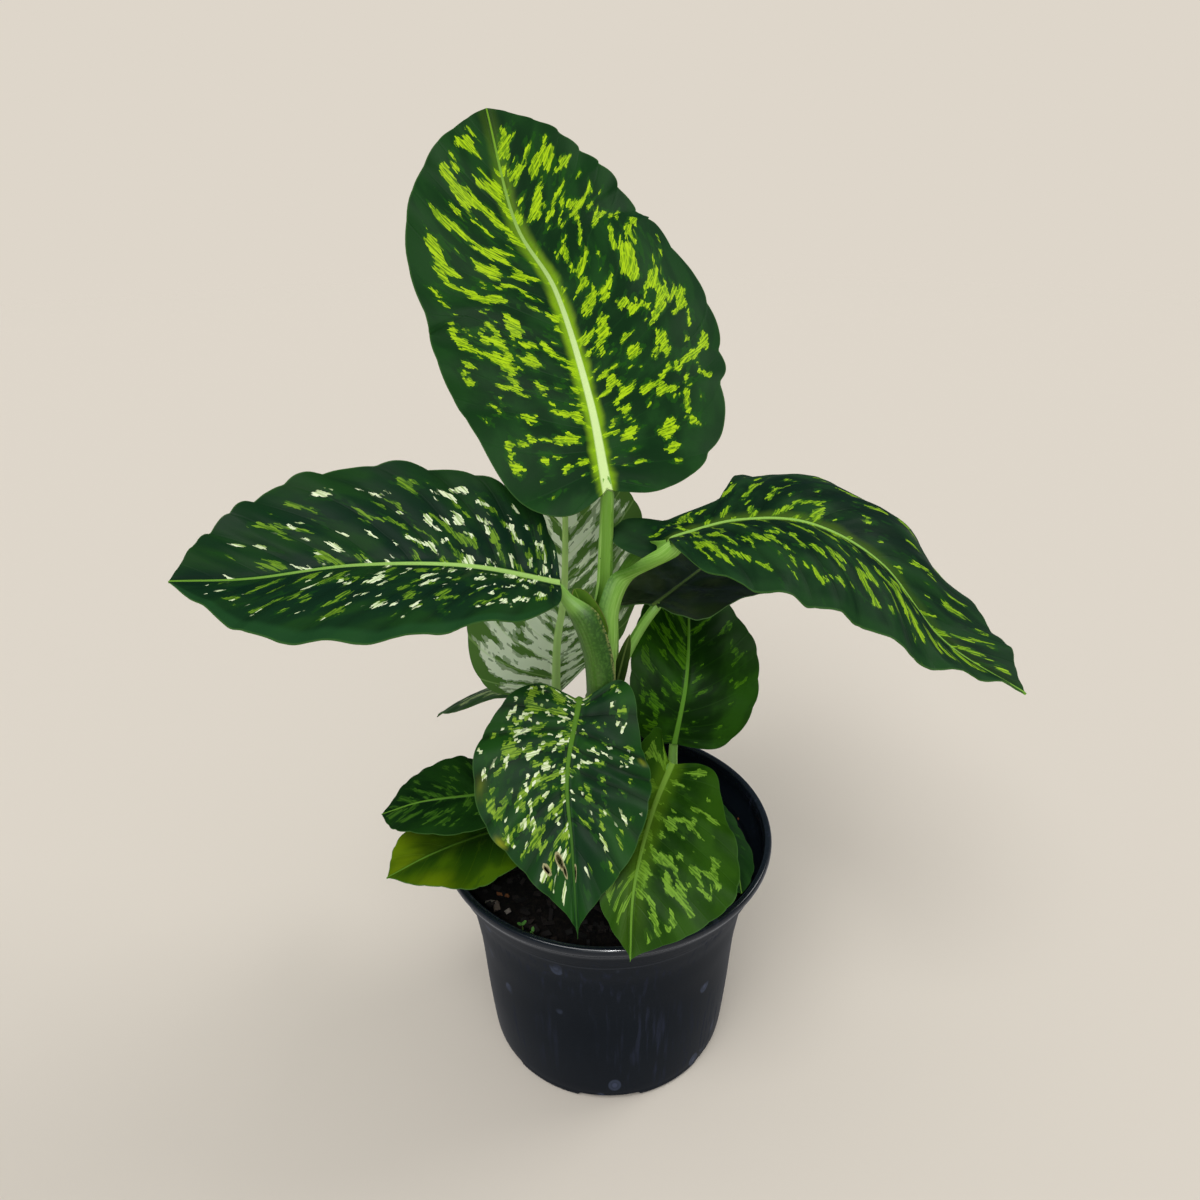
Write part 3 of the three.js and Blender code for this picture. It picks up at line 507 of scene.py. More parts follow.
def leafMaterial(leaf):
    material, tree, shader = newMaterial(leaf["name"] + "_skin")
    reach, along, out = attribute(tree, "place")
    place = add(tree, "CombineXYZ", {0: reach, 1: along, 2: leaf["seed"]}).outputs[0]
    phase, under, u = attribute(tree, "vein")
    distance = calc(tree, "ABSOLUTE", reach)

    rightHalf = rise(tree, reach, -0.002, 0.002)
    fromEdge = calc(tree, "SUBTRACT", out, halves(tree, rightHalf, leaf["plainEdge"]))
    inner = rise(tree, fromEdge, 0.0, -0.16)
    foot = rise(tree, u, -0.04, leaf["fades"][0])
    tip = rise(tree, u, 1.02, 1 - leaf["fades"][1])
    region = times(tree, inner, times(tree, foot, tip))
    drift = rise(tree, speckle(tree, place, 28.0, 1.0), 0.3, 0.62, "LINEAR")
    cover = times(tree, calc(tree, "MULTIPLY_ADD", drift, 0.4, 0.68), leaf["cover"])
    cover = times(tree, cover, spread(tree, rightHalf, u, leaf["coverAt"]))
    marks = marksOf(tree, leaf, place, times(tree, cover, region), leaf["patch"], leaf["seed"])
    net = add(tree, "Group", {"Place": place, "Phase": phase}, node_tree=veinNet).outputs

    broad = speckle(tree, place, 60.0, 3.0)
    tone = calc(tree, "MULTIPLY_ADD", rise(tree, out, 0.4, 1.0), 0.45, rise(tree, broad, 0.42, 0.7))
    color = mixColor(tree, tone, leaf["dark"], leaf["middle"])
    # painted shade: the valleys along the side veins are darkened, where the swelling blade dips and light
    # reaches less
    if leaf["valleyShade"]:
        shaded = times(tree, net["Valley"], rise(tree, u, 1.0, 0.3))
        color = mixColor(tree, times(tree, shaded, leaf["valleyShade"]), color, (8, 22, 10))
    else:
        color = mixColor(tree, times(tree, net["Side"], 0.3), color, leaf["middle"])
    color = mixColor(tree, times(tree, marks["Muted"], 0.6), color, leaf["muted"])
    streak = rise(tree, net["Stroke"], 0.3, 0.6)
    lines = times(tree, net["Net"], rise(tree, net["Stroke"], 0.62, 0.4))
    markColor = mixColor(tree, streak, leaf["markDeep"], leaf["mark"])
    markColor = mixColor(tree, times(tree, lines, 0.7), markColor, leaf["muted"])
    color = mixColor(tree, marks["Mask"], color, markColor)
    if leaf["creamCover"]:
        # cream patches: the front leaf's own white spots; on the left leaf they paint the highlight that lies
        # on its lime marks
        where = rise(tree, speckle(tree, place, 60.0, 0.0), 0.2, 0.5)
        here = times(tree, spread(tree, rightHalf, u, leaf["creamAt"]), leaf["creamCover"])
        here = times(tree, times(tree, where, region), here)
        creamPatchesAndHighlights = marksOf(tree, leaf, place, here, leaf["creamPatch"], leaf["seed"] + 5)
        creamColor = mixColor(tree, streak, leaf["mark"], leaf["cream"])
        color = mixColor(tree, creamPatchesAndHighlights["Mask"], color, creamColor)
    if leaf["glow"]:
        ragged = calc(tree, "MULTIPLY_ADD", net["Stroke"], 0.0005, distance)
        ragged = calc(tree, "MULTIPLY_ADD", speckle(tree, place, 120.0, 1.0), 0.004, ragged)
        halo = rise(tree, ragged, (leaf["glowWide"] + 2.2) * mm, 0.0036)
        halo = times(tree, halo, rise(tree, u, 1.1, 0.45))
        color = mixColor(tree, times(tree, halo, leaf["glow"]), color, leaf["glowColor"])
    if any(leaf["strip"]):
        band = times(tree, rise(tree, fromEdge, -0.03, 0.04), halves(tree, rightHalf, leaf["strip"]))
        band = times(tree, band, rise(tree, u, 0.08, 0.3))
        color = mixColor(tree, times(tree, band, 0.8), color, leaf["stripColor"])
    if leaf["yellowed"]:
        scar, yellow, _ = attribute(tree, "blemish")
        yellow = times(tree, yellow, rise(tree, broad, 0.3, 0.55))
        color = mixColor(tree, times(tree, yellow, 0.7), color, leaf["yellow"])
        color = mixColor(tree, rise(tree, scar, 0.35, 0.6), color, (160, 156, 112))
        color = mixColor(tree, rise(tree, scar, 0.85, 1.0), color, (70, 66, 40))
    wide = [width * mm for width in leaf["ribWide"]]
    ribWide = add(tree, "MapRange", {"Value": u, "To Min": wide[0], "To Max": wide[1]}).outputs[0]
    onRib = rise(tree, calc(tree, "DIVIDE", distance, ribWide), 1.1, 0.7)
    ribColor = mixColor(tree, rise(tree, u, 0.35, 1.0), leaf["ribBase"], leaf["ribTip"])

    underMarked = calc(tree, "MAXIMUM", marks["Mask"], times(tree, marks["Muted"], 0.35))
    underColor = mixColor(tree, underMarked, leaf["under"], leaf["underMark"])
    underColor = mixColor(tree, times(tree, net["Side"], 0.35), underColor, leaf["ribBase"])
    color = mixColor(tree, under, color, underColor)
    color = mixColor(tree, onRib, color, ribColor)
    color = mixColor(tree, times(tree, rise(tree, out, 0.985, 0.998), 0.45), color, leaf["margin"])

    roughness = calc(tree, "MULTIPLY_ADD", broad, 0.2, leaf["gloss"])
    roughness = calc(tree, "MULTIPLY_ADD", under, 0.15, roughness)
    height = calc(tree, "MULTIPLY_ADD", net["Net"], 0.12, times(tree, net["Stroke"], 0.12))
    height = calc(tree, "SUBTRACT", height, net["Side"])
    connect(tree, shader, color, roughness, leaf["sheen"], height, 0.00015, 0.4)
    return material


for leaf in blades:
    makeBlade(leaf)
print("blades made:", len(blades))


# Petioles: round at the back, flat in front, where they open into a winged sheath above a solid foot.
# open: where the groove faces. sheath: the foot's radius, how far up it reaches, how far round it wraps.
# tone: from 0, a light petiole, to 1, a dark green one. cane: from 30 mm down in the soil to its top.
petioleDefaults = dict(
    around=44, along=64, wall=1.4, thinEdge=0.35, radius=(3, 2), sheath=(4, 0.4, 100), tone=0.4,
)
rightShoot = dict(radius=(2.6, 1.9), sheath=(3.6, 0.5, 110))
leftShoot = dict(radius=(2.4, 1.6), sheath=(3.4, 0.5, 110), tone=0.5)
stalks = [
    dict(name="main", radius=(8, 6), cane=[(-2, 3, soilLevel - 30), (-3, 3, 140), (-3, 2, 188)]),
    dict(name="right", radius=(5, 4), cane=[(26, 9, soilLevel - 30), (28, 7, 104), (30, 5, 126)]),
    dict(name="left", radius=(4.5, 3.6), cane=[(-23, -7, soilLevel - 30), (-25, -9, 104), (-27, -12, 122)]),
]
petioles = [
    dict(leaf="top_leaf", stalk="main", route=[(-3, 3, 178), (-1, 8, 208), (0, 12, 240)],
         radius=(4, 2.6), open=(0, -0.9, 0.4), sheath=(5, 0.5, 110), tone=0.1),
    dict(leaf="left_leaf", stalk="main", route=[(-4.5, -5, 176), (-5.5, -6, 205), (-10, -7, 224)],
         radius=(3.6, 2.6), open=(0.9, 0.25, 0.2), sheath=(7, 0.78, 125), tone=0.75),
    dict(leaf="right_leaf", stalk="main", route=[(0, 0, 178), (0.5, 1, 208), (1.5, 5, 227), (9, 9, 241)],
         radius=(5.4, 4), open=(-0.9, 0.3, 0.3), sheath=(6.6, 0.85, 100), tone=0.0),
    dict(leaf="dark_leaf", stalk="main", route=[(-1, 5, 172), (6, 9, 194), (14, 12, 210)],
         open=(-0.6, 0, 0.8), sheath=(4.4, 0.45, 110), tone=0.7),
    dict(leaf="front_leaf", stalk="main", route=[(-4, 0, 158), (-8, -9, 181)], open=(0, -0.3, 0.9)),
    dict(leaf="back_leaf", stalk="main", route=[(-5, 6, 140), (-14, 18, 152)], open=(0, 0.3, 0.9)),
    dict(leaf="back_left_leaf", stalk="main", route=[(-5, 7, 122), (-12, 34, 140)], open=(0, 0.3, 0.9)),
    dict(rightShoot, leaf="round_leaf", stalk="right", route=[(29, 7, 112), (31, 12, 132)],
         open=(0, -0.9, 0.3)),
    dict(rightShoot, leaf="front_right_leaf", stalk="right", route=[(30, 5, 116), (31, -5, 144)],
         open=(0, -0.4, 0.9)),
    dict(leaf="small_right_leaf", stalk="right", route=[(30, 5, 108), (35, -2, 126)],
         radius=(2.2, 1.5), open=(0.2, 0.4, 0.9), sheath=(3, 0.5, 110), tone=0.5),
    dict(leftShoot, leaf="upper_left_leaf", stalk="left", route=[(-27, -12, 112), (-33, -18, 140)],
         open=(0.5, 0.2, 0.8)),
    dict(leftShoot, leaf="lower_left_leaf", stalk="left", route=[(-26, -11, 106), (-31, -21, 128)],
         open=(0.4, 0.5, 0.8)),
]


def petiolePoint(settings, route, s, t):
    # s runs once round the section: up to a half on the round back, then across the groove in front
    foot, reachShare, wrapDegrees = settings["sheath"]
    winged = 1 - smoothStep(t, reachShare - 0.12, reachShare + 0.06)
    stem = lerp(*settings["radius"], t)
    radius = lerp(stem, foot, winged)
    wrap = math.radians(lerp(140, wrapDegrees, winged))
    hollow = winged * smoothStep(t, 0.3, 0.5)
    tangent = route.tangent(t * route.length)
    front = Vector(settings["open"])
    front = (front - tangent * front.dot(tangent)).normalized()
    across = front.cross(tangent)
    middle = route.point(t * route.length) + front * (radius - stem)
    slimming = smoothStep(t, 1 - 9.0 / route.length, 1.0)
    closing = lerp(1.0, 0.25, slimming) * min(1.0, t / 0.02, (1 - t) / 0.004)

    def on(angle, size):
        return (across * math.sin(angle) - front * math.cos(angle)) * size

    if s <= 0.5:
        angle = lerp(-wrap, wrap, s * 2)
        offset = on(angle, radius)
        groove = 0.0
    else:
        share = s * 2 - 1
        angle = lerp(wrap, -wrap, share)
        chord = on(wrap, radius).lerp(on(-wrap, radius), share)
        dip = -0.22 * stem * math.sin(math.pi * share)
        wall = settings["thinEdge"] + settings["wall"] * math.cos(angle / 2) ** 2
        offset = (chord + front * dip).lerp(on(angle, radius - wall), hollow)
        groove = 1.0
    margin = 1 - min(s, abs(s - 0.5), 1 - s, 0.05) / 0.05
    return (middle + offset * closing) * mm, (angle / math.pi, t, groove), (winged, margin * winged)


def makePetiole(settings):
    settings = {**petioleDefaults, **settings}
    leaf = {**bladeDefaults, **next(blade for blade in blades if blade["name"] == settings["leaf"])}
    up = Vector(leaf["up"][0]).normalized()
    end = Vector(leaf["rib"][0]) - up * (0.2 + settings["radius"][1])
    inside = Route(leaf["rib"]).point(9.0) - up * (leaf["keel"][0] * 0.4)  # its head runs into the midrib
    route = Route([*settings["route"], end, inside])
    bm, place, wing, tone = newGrid(settings["around"], settings["along"], "place", "wing", "tone")
    for vert in bm.verts:
        s, t = (vert.co.x + 1) / 2, (vert.co.y + 1) / 2
        vert.co, vert[place], (winged, margin) = petiolePoint(settings, route, s, t)
        vert[wing] = (winged, route.length * t * mm, margin)
        vert[tone] = (settings["tone"], 0.0, 0.0)
    name = settings["leaf"] + "_petiole"
    finishPiece(name, bm, petioleSkin, [settings["stalk"] + "_stalk"], 60)


def makeStem(name, points, radiusAt, node, around, along):
    # a round stem with closed ends; radiusAt gives its radius, its share of the height for the colours,
    # and how far the next ring is
    route = Route(points)
    bm, place = newGrid(around, along, "place")
    for vert in bm.verts:
        angle, t = math.pi * vert.co.x, (vert.co.y + 1) / 2
        outward = Vector((math.cos(angle), math.sin(angle), 0))
        radius, height, fromRing = radiusAt(outward, t, route.length)
        vert.co = (route.point(t * route.length) + outward * radius) * mm
        vert[place] = (height, fromRing, 0.0)
    finishPiece(name, bm, caneSkin, [node], 60)


def makeCane(stalk):
    # ringed every 13 mm, where old leaves have left it
    def radiusAt(outward, t, length):
        rings = t * length / 13.0
        fromRing = abs(rings - round(rings))
        radius = lerp(*stalk["radius"], t) + 0.5 * math.exp(-(fromRing / 0.07) ** 2)
        radius += 0.25 * noise.noise(Vector((outward.x, outward.y, t * 6)))
        rounding = math.sqrt(max(0.0, 1 - max(0.0, (t - 0.96) / 0.04) ** 2))
        return radius * min(1.0, t / 0.01) * rounding, t, fromRing

    name = stalk["name"]
    makeStem(name + "_cane", stalk["cane"], radiusAt, name + "_stalk", 40, 90)


def makePetioleSkin():
    material, tree, shader = newMaterial("petiole_skin")
    angle, t, groove = attribute(tree, "place")
    winged, along, margin = attribute(tree, "wing")
    tone, _, _ = attribute(tree, "tone")
    around = calc(tree, "ABSOLUTE", angle)
    fibre = {0: times(tree, angle, 26.0), 1: times(tree, along, 60.0)}
    streaks = speckle(tree, add(tree, "CombineXYZ", fibre).outputs[0], 1.0, 3.0)
    fine = rise(tree, streaks, 0.35, 0.7)
    spot = objectPlace(tree)
    grain = speckle(tree, spot, 900.0)
    light = mixColor(tree, fine, (126, 180, 64), (162, 208, 104))
    light = mixColor(tree, rise(tree, t, 0.35, 0.0), light, (160, 190, 112))
    # painted shade: the winged part darkens towards both sides of its round back, where it turns from the
    # light
    shadedFlank = mixColor(tree, rise(tree, grain, 0.4, 0.7), (56, 104, 26), (80, 130, 42))
    flankShade = times(tree, winged, rise(tree, around, 0.2, 0.55))
    light = mixColor(tree, times(tree, flankShade, 0.85), light, shadedFlank)
    deep = mixColor(tree, rise(tree, grain, 0.4, 0.7), (24, 62, 12), (48, 92, 26))
    deep = mixColor(tree, times(tree, rise(tree, winged, 0.9, 0.3), 0.8), deep, (128, 176, 76))
    color = mixColor(tree, tone, light, deep)
    color = mixColor(tree, times(tree, groove, 0.5), color, (92, 142, 30))
    color = mixColor(tree, rise(tree, t, 0.1, 0.0), color, (120, 104, 58))
    hem = times(tree, rise(tree, margin, 0.3, 0.9), rise(tree, grain, 0.42, 0.6))
    color = mixColor(tree, times(tree, hem, tone), color, (150, 150, 86))
    dots = add(tree, "TexVoronoi", {"Vector": spot, "Scale": 130.0}).outputs["Distance"]
    color = mixColor(tree, rise(tree, dots, 0.07, 0.05), color, (18, 30, 10))
    height = calc(tree, "MULTIPLY_ADD", streaks, 0.8, times(tree, grain, 0.3))
    roughness = calc(tree, "MULTIPLY_ADD", grain, 0.15, 0.38)
    connect(tree, shader, color, roughness, 0.25, height, 0.00025, 0.5)
    return material


def makeCaneSkin():
    material, tree, shader = newMaterial("cane_skin")
    t, ring, _ = attribute(tree, "place")
    spot = objectPlace(tree)
    patches = speckle(tree, spot, 160.0, 3.0)
    color = mixColor(tree, rise(tree, patches, 0.35, 0.7), (84, 112, 46), (122, 142, 70))
    color = mixColor(tree, rise(tree, ring, 0.12, 0.03), color, (140, 124, 84))
    color = mixColor(tree, rise(tree, t, 0.5, 0.25), color, (104, 92, 58))
    connect(tree, shader, color, 0.5, 0.5, patches, 0.0004, 0.5)
    return material


# The free ends of two old sheaths, shaped as small blades
flapDefaults = dict(
    veins=5, slant=0.0, puff=0.1, crinkle=0.15, notch=(0, 0), ribWide=(0.6, 0.3), keel=(0.2, 0.1), ridge=0.0,
    lobe=(1, 1), droop=(0, 0), peak=(0.8, 0.8), fold=(8, 8), wave=(0, 1), spacing=0.8, slot="green_stalk",
    nodes=["main_stalk"], cover=0.1, gloss=0.4, margin=(150, 128, 72),
)
flaps = [
    dict(name="ear_of_sheath", seed=121.0,
         rib=[(-3, -5, 216), (-8.5, -5, 229), (-12.5, -4, 239)], up=[(0.2, -0.9, 0.3), (0.3, -0.7, 0.6)],
         wide=(5, 6.5), ends=(0.7, 0.7, 0.7), curl=(30, 30),
         dark=(60, 96, 20), middle=(84, 122, 34), mark=(96, 130, 44), markDeep=(80, 112, 34),
         muted=(70, 104, 26), ribBase=(96, 132, 44), ribTip=(90, 124, 40)),
    dict(name="old_sheath", seed=131.0,
         rib=[(3.5, -3, 188), (7, -3, 205), (10, -2, 217)], up=[(0, -0.9, 0.4), (0, -0.9, 0.4)],
         wide=(2.6, 3), ends=(0.7, 0.7, 1.2), curl=(-30, -30),
         dark=(22, 44, 8), middle=(46, 66, 18), mark=(80, 96, 40), markDeep=(60, 76, 26),
         muted=(40, 58, 16), ribBase=(84, 104, 50), ribTip=(70, 86, 40)),
]
for flap in flaps:
    makeBlade({**flapDefaults, **flap})
print("flaps made:", len(flaps))


# Seedlings: two round seed leaves on a thread of a stem
seedlingGreens = dict(
    dark=(58, 104, 40), middle=(84, 136, 60), mark=(96, 146, 66), markDeep=(80, 130, 52),
    muted=(70, 118, 46), ribBase=(110, 156, 80), ribTip=(100, 146, 72), margin=(84, 132, 56),
)
seedlings = [
    dict(name="seedling_left", at=(-36.5, -50), height=4, turn=20, size=2),
    dict(name="seedling_right", at=(-32, -53.5), height=3.4, turn=75, size=1.6),
]


def makeSeedling(seedling):
    x, y = seedling["at"]
    size, top = seedling["size"], soilLevel + seedling["height"]
    for number, turn in enumerate((seedling["turn"], seedling["turn"] + 180)):
        endX = x + size * math.cos(math.radians(turn))
        endY = y + size * math.sin(math.radians(turn))
        seedLeaf = dict(
            name=f"{seedling['name']}_leaf_{number + 1}", slot="seedling", nodes=[seedling["name"]],
            rib=[(x, y, top - 0.5), (endX, endY, top + 1)], up=[(0, 0, 1), (0, 0, 1)],
            wide=(size * 0.42, size * 0.42), lobe=(0.1, 0.1), ends=(0.8, 0.8, 0.7), curl=(-8, -8), seed=141.0,
            thickness=0.35, crinkle=0.05, puff=0.0, ribWide=(0.12, 0.06), keel=(0.1, 0.05),
        )
        makeBlade({**flapDefaults, **seedlingGreens, **seedLeaf})

    def radiusAt(outward, t, length):
        return lerp(0.42, 0.3, t) * min(1.0, t / 0.02, (1 - t) / 0.02), 1.0, 1.0

    points = [(x, y, soilLevel - 3), (x + 0.2, y, soilLevel), (x, y, top - 0.4)]
    makeStem(seedling["name"] + "_stem", points, radiusAt, seedling["name"], 12, 16)


petioleSkin = makePetioleSkin()
caneSkin = makeCaneSkin()
for stalk in stalks:
    makeCane(stalk)
    for petiole in petioles:
        if petiole["stalk"] == stalk["name"]:
            makePetiole(petiole)
print("stalks made:", len(stalks), "petioles made:", len(petioles))
for seedling in seedlings:
    makeSeedling(seedling)
print("seedlings made:", len(seedlings))


# Pot: a spun wall that flares into a broad lip, with slots cut through its foot
pot = dict(
    height=116, rim=76, foot=58, wall=1.8, floor=2.2, seam=98.5, steps=144,
    slots=6, slotWide=28, slotHigh=3.2, slotReach=16,
)


def potProfile():
    foot, rim, height, wall = pot["foot"], pot["rim"], pot["height"], pot["wall"]
    foundation = [(foot - 3.5, 0), (foot - 1.4, 0.4), (foot - 0.3, 1.3), (foot, 2.6), (foot + 0.15, 4.4)]
    side = [(58.7, 9), (60.3, 30), (61.1, 45), (62, 60), (63.4, 72), (65.2, 84), (67, 91), (68.4, 96),
            (69.6, 99.4), (70.1, 100.8), (70.35, 101.3), (70.8, 101.7), (71.3, 102.2), (72.4, 105),
            (73.6, 108)]
    outerLip = [(74.6, 110.6), (75.2, 111.7), (rim - 0.3, 112.4), (rim, 113.4), (rim, height - 1.4),
                (rim - 0.4, height - 0.4), (rim - 1.1, height), (rim - 2.2, height),
                (rim - 3.0, height - 0.5)]
    innerLip = [(rim - 3.4, height - 1.6), (rim - 3.9, height - 4), (72, 107)]
    inside = [(r - wall, z) for r, z in reversed(side[:-3])]
    corner = [(foot - wall, 5.4), (foot - wall - 0.4, 3.6), (foot - wall - 1.2, pot["floor"] + 0.4)]
    return [*foundation, *side, *outerLip, *innerLip, *inside, *corner, (foot - wall - 2.6, pot["floor"])]


def makePot():
    bm = bmesh.new()
    profile = Route([(r, 0, z) for r, z in potProfile()], steps=3)
    corners = [Vector((0, 0, 0)), *profile.line, Vector((0, 0, pot["floor"]))]
    rail = [bm.verts.new(corner * mm) for corner in corners]
    edges = [bm.edges.new(pair) for pair in zip(rail, rail[1:])]
    bmesh.ops.spin(bm, geom=rail + edges, cent=(0, 0, 0), axis=(0, 0, 1), dvec=(0, 0, 0),
                   angle=2 * math.pi, steps=pot["steps"], use_merge=True)
    piece = finishPiece("nursery_pot", bm, makePlastic(), ["pot"], 40)
    cutter = makeSlotCutter()
    cut = piece.modifiers.new("slots", "BOOLEAN")
    cut.operation = "DIFFERENCE"
    cut.solver = "EXACT"
    cut.object = cutter
    finished = bpy.data.meshes.new_from_object(piece.evaluated_get(bpy.context.evaluated_depsgraph_get()))
    piece.modifiers.remove(cut)
    piece.data = finished
    bpy.data.objects.remove(cutter)


def makeSlotCutter():
    # rounded blocks that stand where the drain slots are, one between each two feet
    bm = bmesh.new()
    size = Vector((pot["slotReach"], pot["slotWide"], 2 * pot["slotHigh"]))
    for k in range(pot["slots"]):
        block = bmesh.ops.create_cube(bm, size=1.0)["verts"]
        bmesh.ops.scale(bm, vec=size * mm, verts=block)
        for vert in block:
            if vert.co.z < 0:
                vert.co.y *= 1.16  # the slot's ends slope, so it is wider at the foot
        out = Matrix.Translation(((pot["foot"] + 2 - pot["slotReach"] / 2) * mm, 0, 0))
        turn = Matrix.Rotation(2 * math.pi * (k + 0.5) / pot["slots"], 4, "Z")
        bmesh.ops.transform(bm, matrix=turn @ out, verts=block)
    ends = {edge: [vert.co.z for vert in edge.verts] for edge in bm.edges}
    high = [edge for edge, (a, b) in ends.items() if min(a, b) > 0 and abs(a - b) < pot["slotHigh"] * mm]
    bmesh.ops.bevel(bm, geom=high, offset=1.2 * mm, segments=4, profile=0.5, affect="EDGES", material=-1)
    cutter = meshObject("slots", bm)
    bpy.context.view_layer.update()
    return cutter


def makePlastic():
    material, tree, shader = newMaterial("pot_plastic")
    spot = objectPlace(tree)
    streaks = speckle(tree, vectorCalc(tree, "MULTIPLY", spot, (480.0, 480.0, 36.0)), 1.0, 3.0)
    cloud = speckle(tree, spot, 22.0, 3.0)
    chipPlace = vectorCalc(tree, "MULTIPLY", spot, (90.0, 90.0, 60.0))
    chips = add(tree, "TexVoronoi", {"Vector": chipPlace, "Scale": 1.0}).outputs["Distance"]
    rare = rise(tree, speckle(tree, spot, 55.0, 1.0), 0.56, 0.66)
    chip = times(tree, rise(tree, chips, 0.2, 0.1), rare)
    dust = times(tree, rise(tree, streaks, 0.5, 0.75), rise(tree, cloud, 0.4, 0.65))
    rings = times(tree, rise(tree, chips, 0.3, 0.24), rise(tree, chips, 0.14, 0.2))
    color = mixColor(tree, cloud, (8, 13, 20), (17, 25, 33))
    _, _, high = add(tree, "SeparateXYZ", {0: spot}).outputs
    fromSeam = calc(tree, "ABSOLUTE", calc(tree, "SUBTRACT", high, pot["seam"] * mm))
    for mask, amount, tint in (
        (dust, 0.4, (52, 57, 78)),
        (chip, 0.4, (90, 100, 130)),
        (times(tree, rings, rare), 0.35, (80, 90, 116)),
        (rise(tree, fromSeam, 0.0007, 0.0002), 0.35, (60, 64, 72)),
    ):
        color = mixColor(tree, times(tree, mask, amount), color, tint)
    fine = speckle(tree, spot, 1400.0)
    roughness = calc(tree, "MULTIPLY_ADD", dust, 0.2, calc(tree, "MULTIPLY_ADD", cloud, 0.1, 0.36))
    connect(tree, shader, color, roughness, 0.08, fine, 0.00004, 0.4)
    put(tree, shader.inputs["Coat Weight"], rise(tree, high, 0.108, 0.1125))
    put(tree, shader.inputs["Coat Roughness"], 0.17)
    return material


makePot()
print("pot made")


# Soil. skirt: radius and height of its sides. marked: chips that show in front, with their shade.
soil = dict(radius=66.4, chips=420, seed=5, skirt=[(62.4, 82), (59.2, 58), (57.4, 28), (55.0, 4.2)],
            marked=[(-46.7, -30, 2.6), (-43.5, -40, 1.6), (-52, -33, 1.6), (-49, -36, 1.0), (67, 20, 2.6)])


def makeSoil():
    source = random.Random(soil["seed"])
    bm = bmesh.new()
    bmesh.ops.create_circle(bm, cap_ends=True, cap_tris=True, radius=soil["radius"] * mm, segments=72)
    for _ in range(4):
        bmesh.ops.subdivide_edges(bm, edges=bm.edges[:], cuts=1, use_grid_fill=True)
    for vert in bm.verts:
        x, y, _ = vert.co / mm
        spot = Vector((x / 6, y / 6, 2.0))
        high = soilLevel + 1.4 * noise.noise(spot) + 0.8 * noise.noise(spot * 3.1) - 0.4
        vert.co.z = high * mm
    radius = soil["radius"]
    for nextRadius, nextHigh in soil["skirt"]:
        skirt = [edge for edge in bm.edges if edge.is_boundary]
        lowered = bmesh.ops.extrude_edge_only(bm, edges=skirt)["geom"]
        for vert in [item for item in lowered if isinstance(item, bmesh.types.BMVert)]:
            scale = nextRadius / radius
            vert.co = Vector((vert.co.x * scale, vert.co.y * scale, nextHigh * mm))
        radius = nextRadius
    bmesh.ops.holes_fill(bm, edges=[edge for edge in bm.edges if edge.is_boundary], sides=0)
    finishPiece("soil_bed", bm, makeSoilSkin(), ["soil"], 60)

    bm = bmesh.new()
    tone = bm.verts.layers.float_vector.new("tone")
    spots = []
    for _ in range(soil["chips"]):
        radius = 64 * math.sqrt(source.random())
        angle = 2 * math.pi * source.random()
        spots.append((radius * math.cos(angle), radius * math.sin(angle), source.random()))
    for x, y, shade in [*spots, *soil["marked"]]:
        size = Vector((source.uniform(1.5, 6.5), source.uniform(1.0, 3.0), source.uniform(0.5, 1.6))) * mm
        made = bmesh.ops.create_cube(bm, size=1.0)["verts"]
        for vert in made:
            vert[tone] = (shade, source.random(), 0.0)
            vert.co += Vector([source.uniform(-0.18, 0.18) for _ in range(3)])
        turn = Matrix.Rotation(source.uniform(0, math.pi), 4, "Z")
        for axis in "XY":
            turn = turn @ Matrix.Rotation(source.uniform(-0.5, 0.5), 4, axis)
        spot = Matrix.Translation(Vector((x, y, soilLevel + source.uniform(-0.3, 1.2))) * mm)
        bmesh.ops.transform(bm, matrix=spot @ turn @ Matrix.Diagonal(size).to_4x4(), verts=made)
    finishPiece("bark_chips", bm, makeBarkSkin(), ["soil"], 30)


def makeSoilSkin():
    material, tree, shader = newMaterial("peat")
    spot = objectPlace(tree)
    crumbs = speckle(tree, spot, 420.0, 5.0, 0.65)
    # peat's own dark brown, kept darker still as painted shade for the inside of the pot
    color = mixColor(tree, rise(tree, crumbs, 0.35, 0.8), (5, 4, 3), (30, 23, 18))
    connect(tree, shader, color, 0.95, 0.1, crumbs, 0.0012, 1.0)
    return material


def makeBarkSkin():
    material, tree, shader = newMaterial("bark")
    shade, dull, _ = attribute(tree, "tone")
    spot = objectPlace(tree)
    grain = speckle(tree, spot, 700.0, 3.0)
    # the chips' own browns, kept darker still as painted shade for the inside of the pot
    color = mixColor(tree, rise(tree, shade, 0.2, 1.0), (8, 6, 4), (36, 25, 19))
    # a few are pale, and the marked ones whitish or orange-brown
    pale = ((0.982, 0.986, (120, 104, 94)), (1.4, 1.5, (150, 140, 132)), (2.4, 2.5, (146, 86, 46)))
    for low, high, tint in pale:
        color = mixColor(tree, rise(tree, shade, low, high), color, tint)
    color = mixColor(tree, times(tree, grain, 0.6), color, (18, 12, 9))
    connect(tree, shader, color, calc(tree, "MULTIPLY_ADD", dull, 0.2, 0.75), 0.2, grain, 0.0004, 0.8)
    return material


makeSoil()
print("soil made")


# Floor, light and camera
studio = dict(floorRadius=20.0, background=srgb(222, 214, 202), ambient=0.5, mirrored=(0.08, 0.11, 0.14, 1.0),
              mirroredFloor=(0.36, 0.36, 0.37, 1.0))
lamps = [
    dict(name="key", azimuth=-28, elevation=58, angle=34, strength=1.35, matte=True),
    dict(name="side", azimuth=112, elevation=42, angle=26, strength=0.75, matte=True),
    dict(name="fill", azimuth=8, elevation=10, angle=50, strength=0.5, matte=True),
    dict(name="glint", azimuth=2, elevation=44, angle=5, strength=1.8, matte=False),  # only mirrored
]
view = dict(lens=27.0, sensor=36.0, pitch=26.5, roll=-0.55, aim=(-2.2, 0.0, 231.9), distance=368.7)


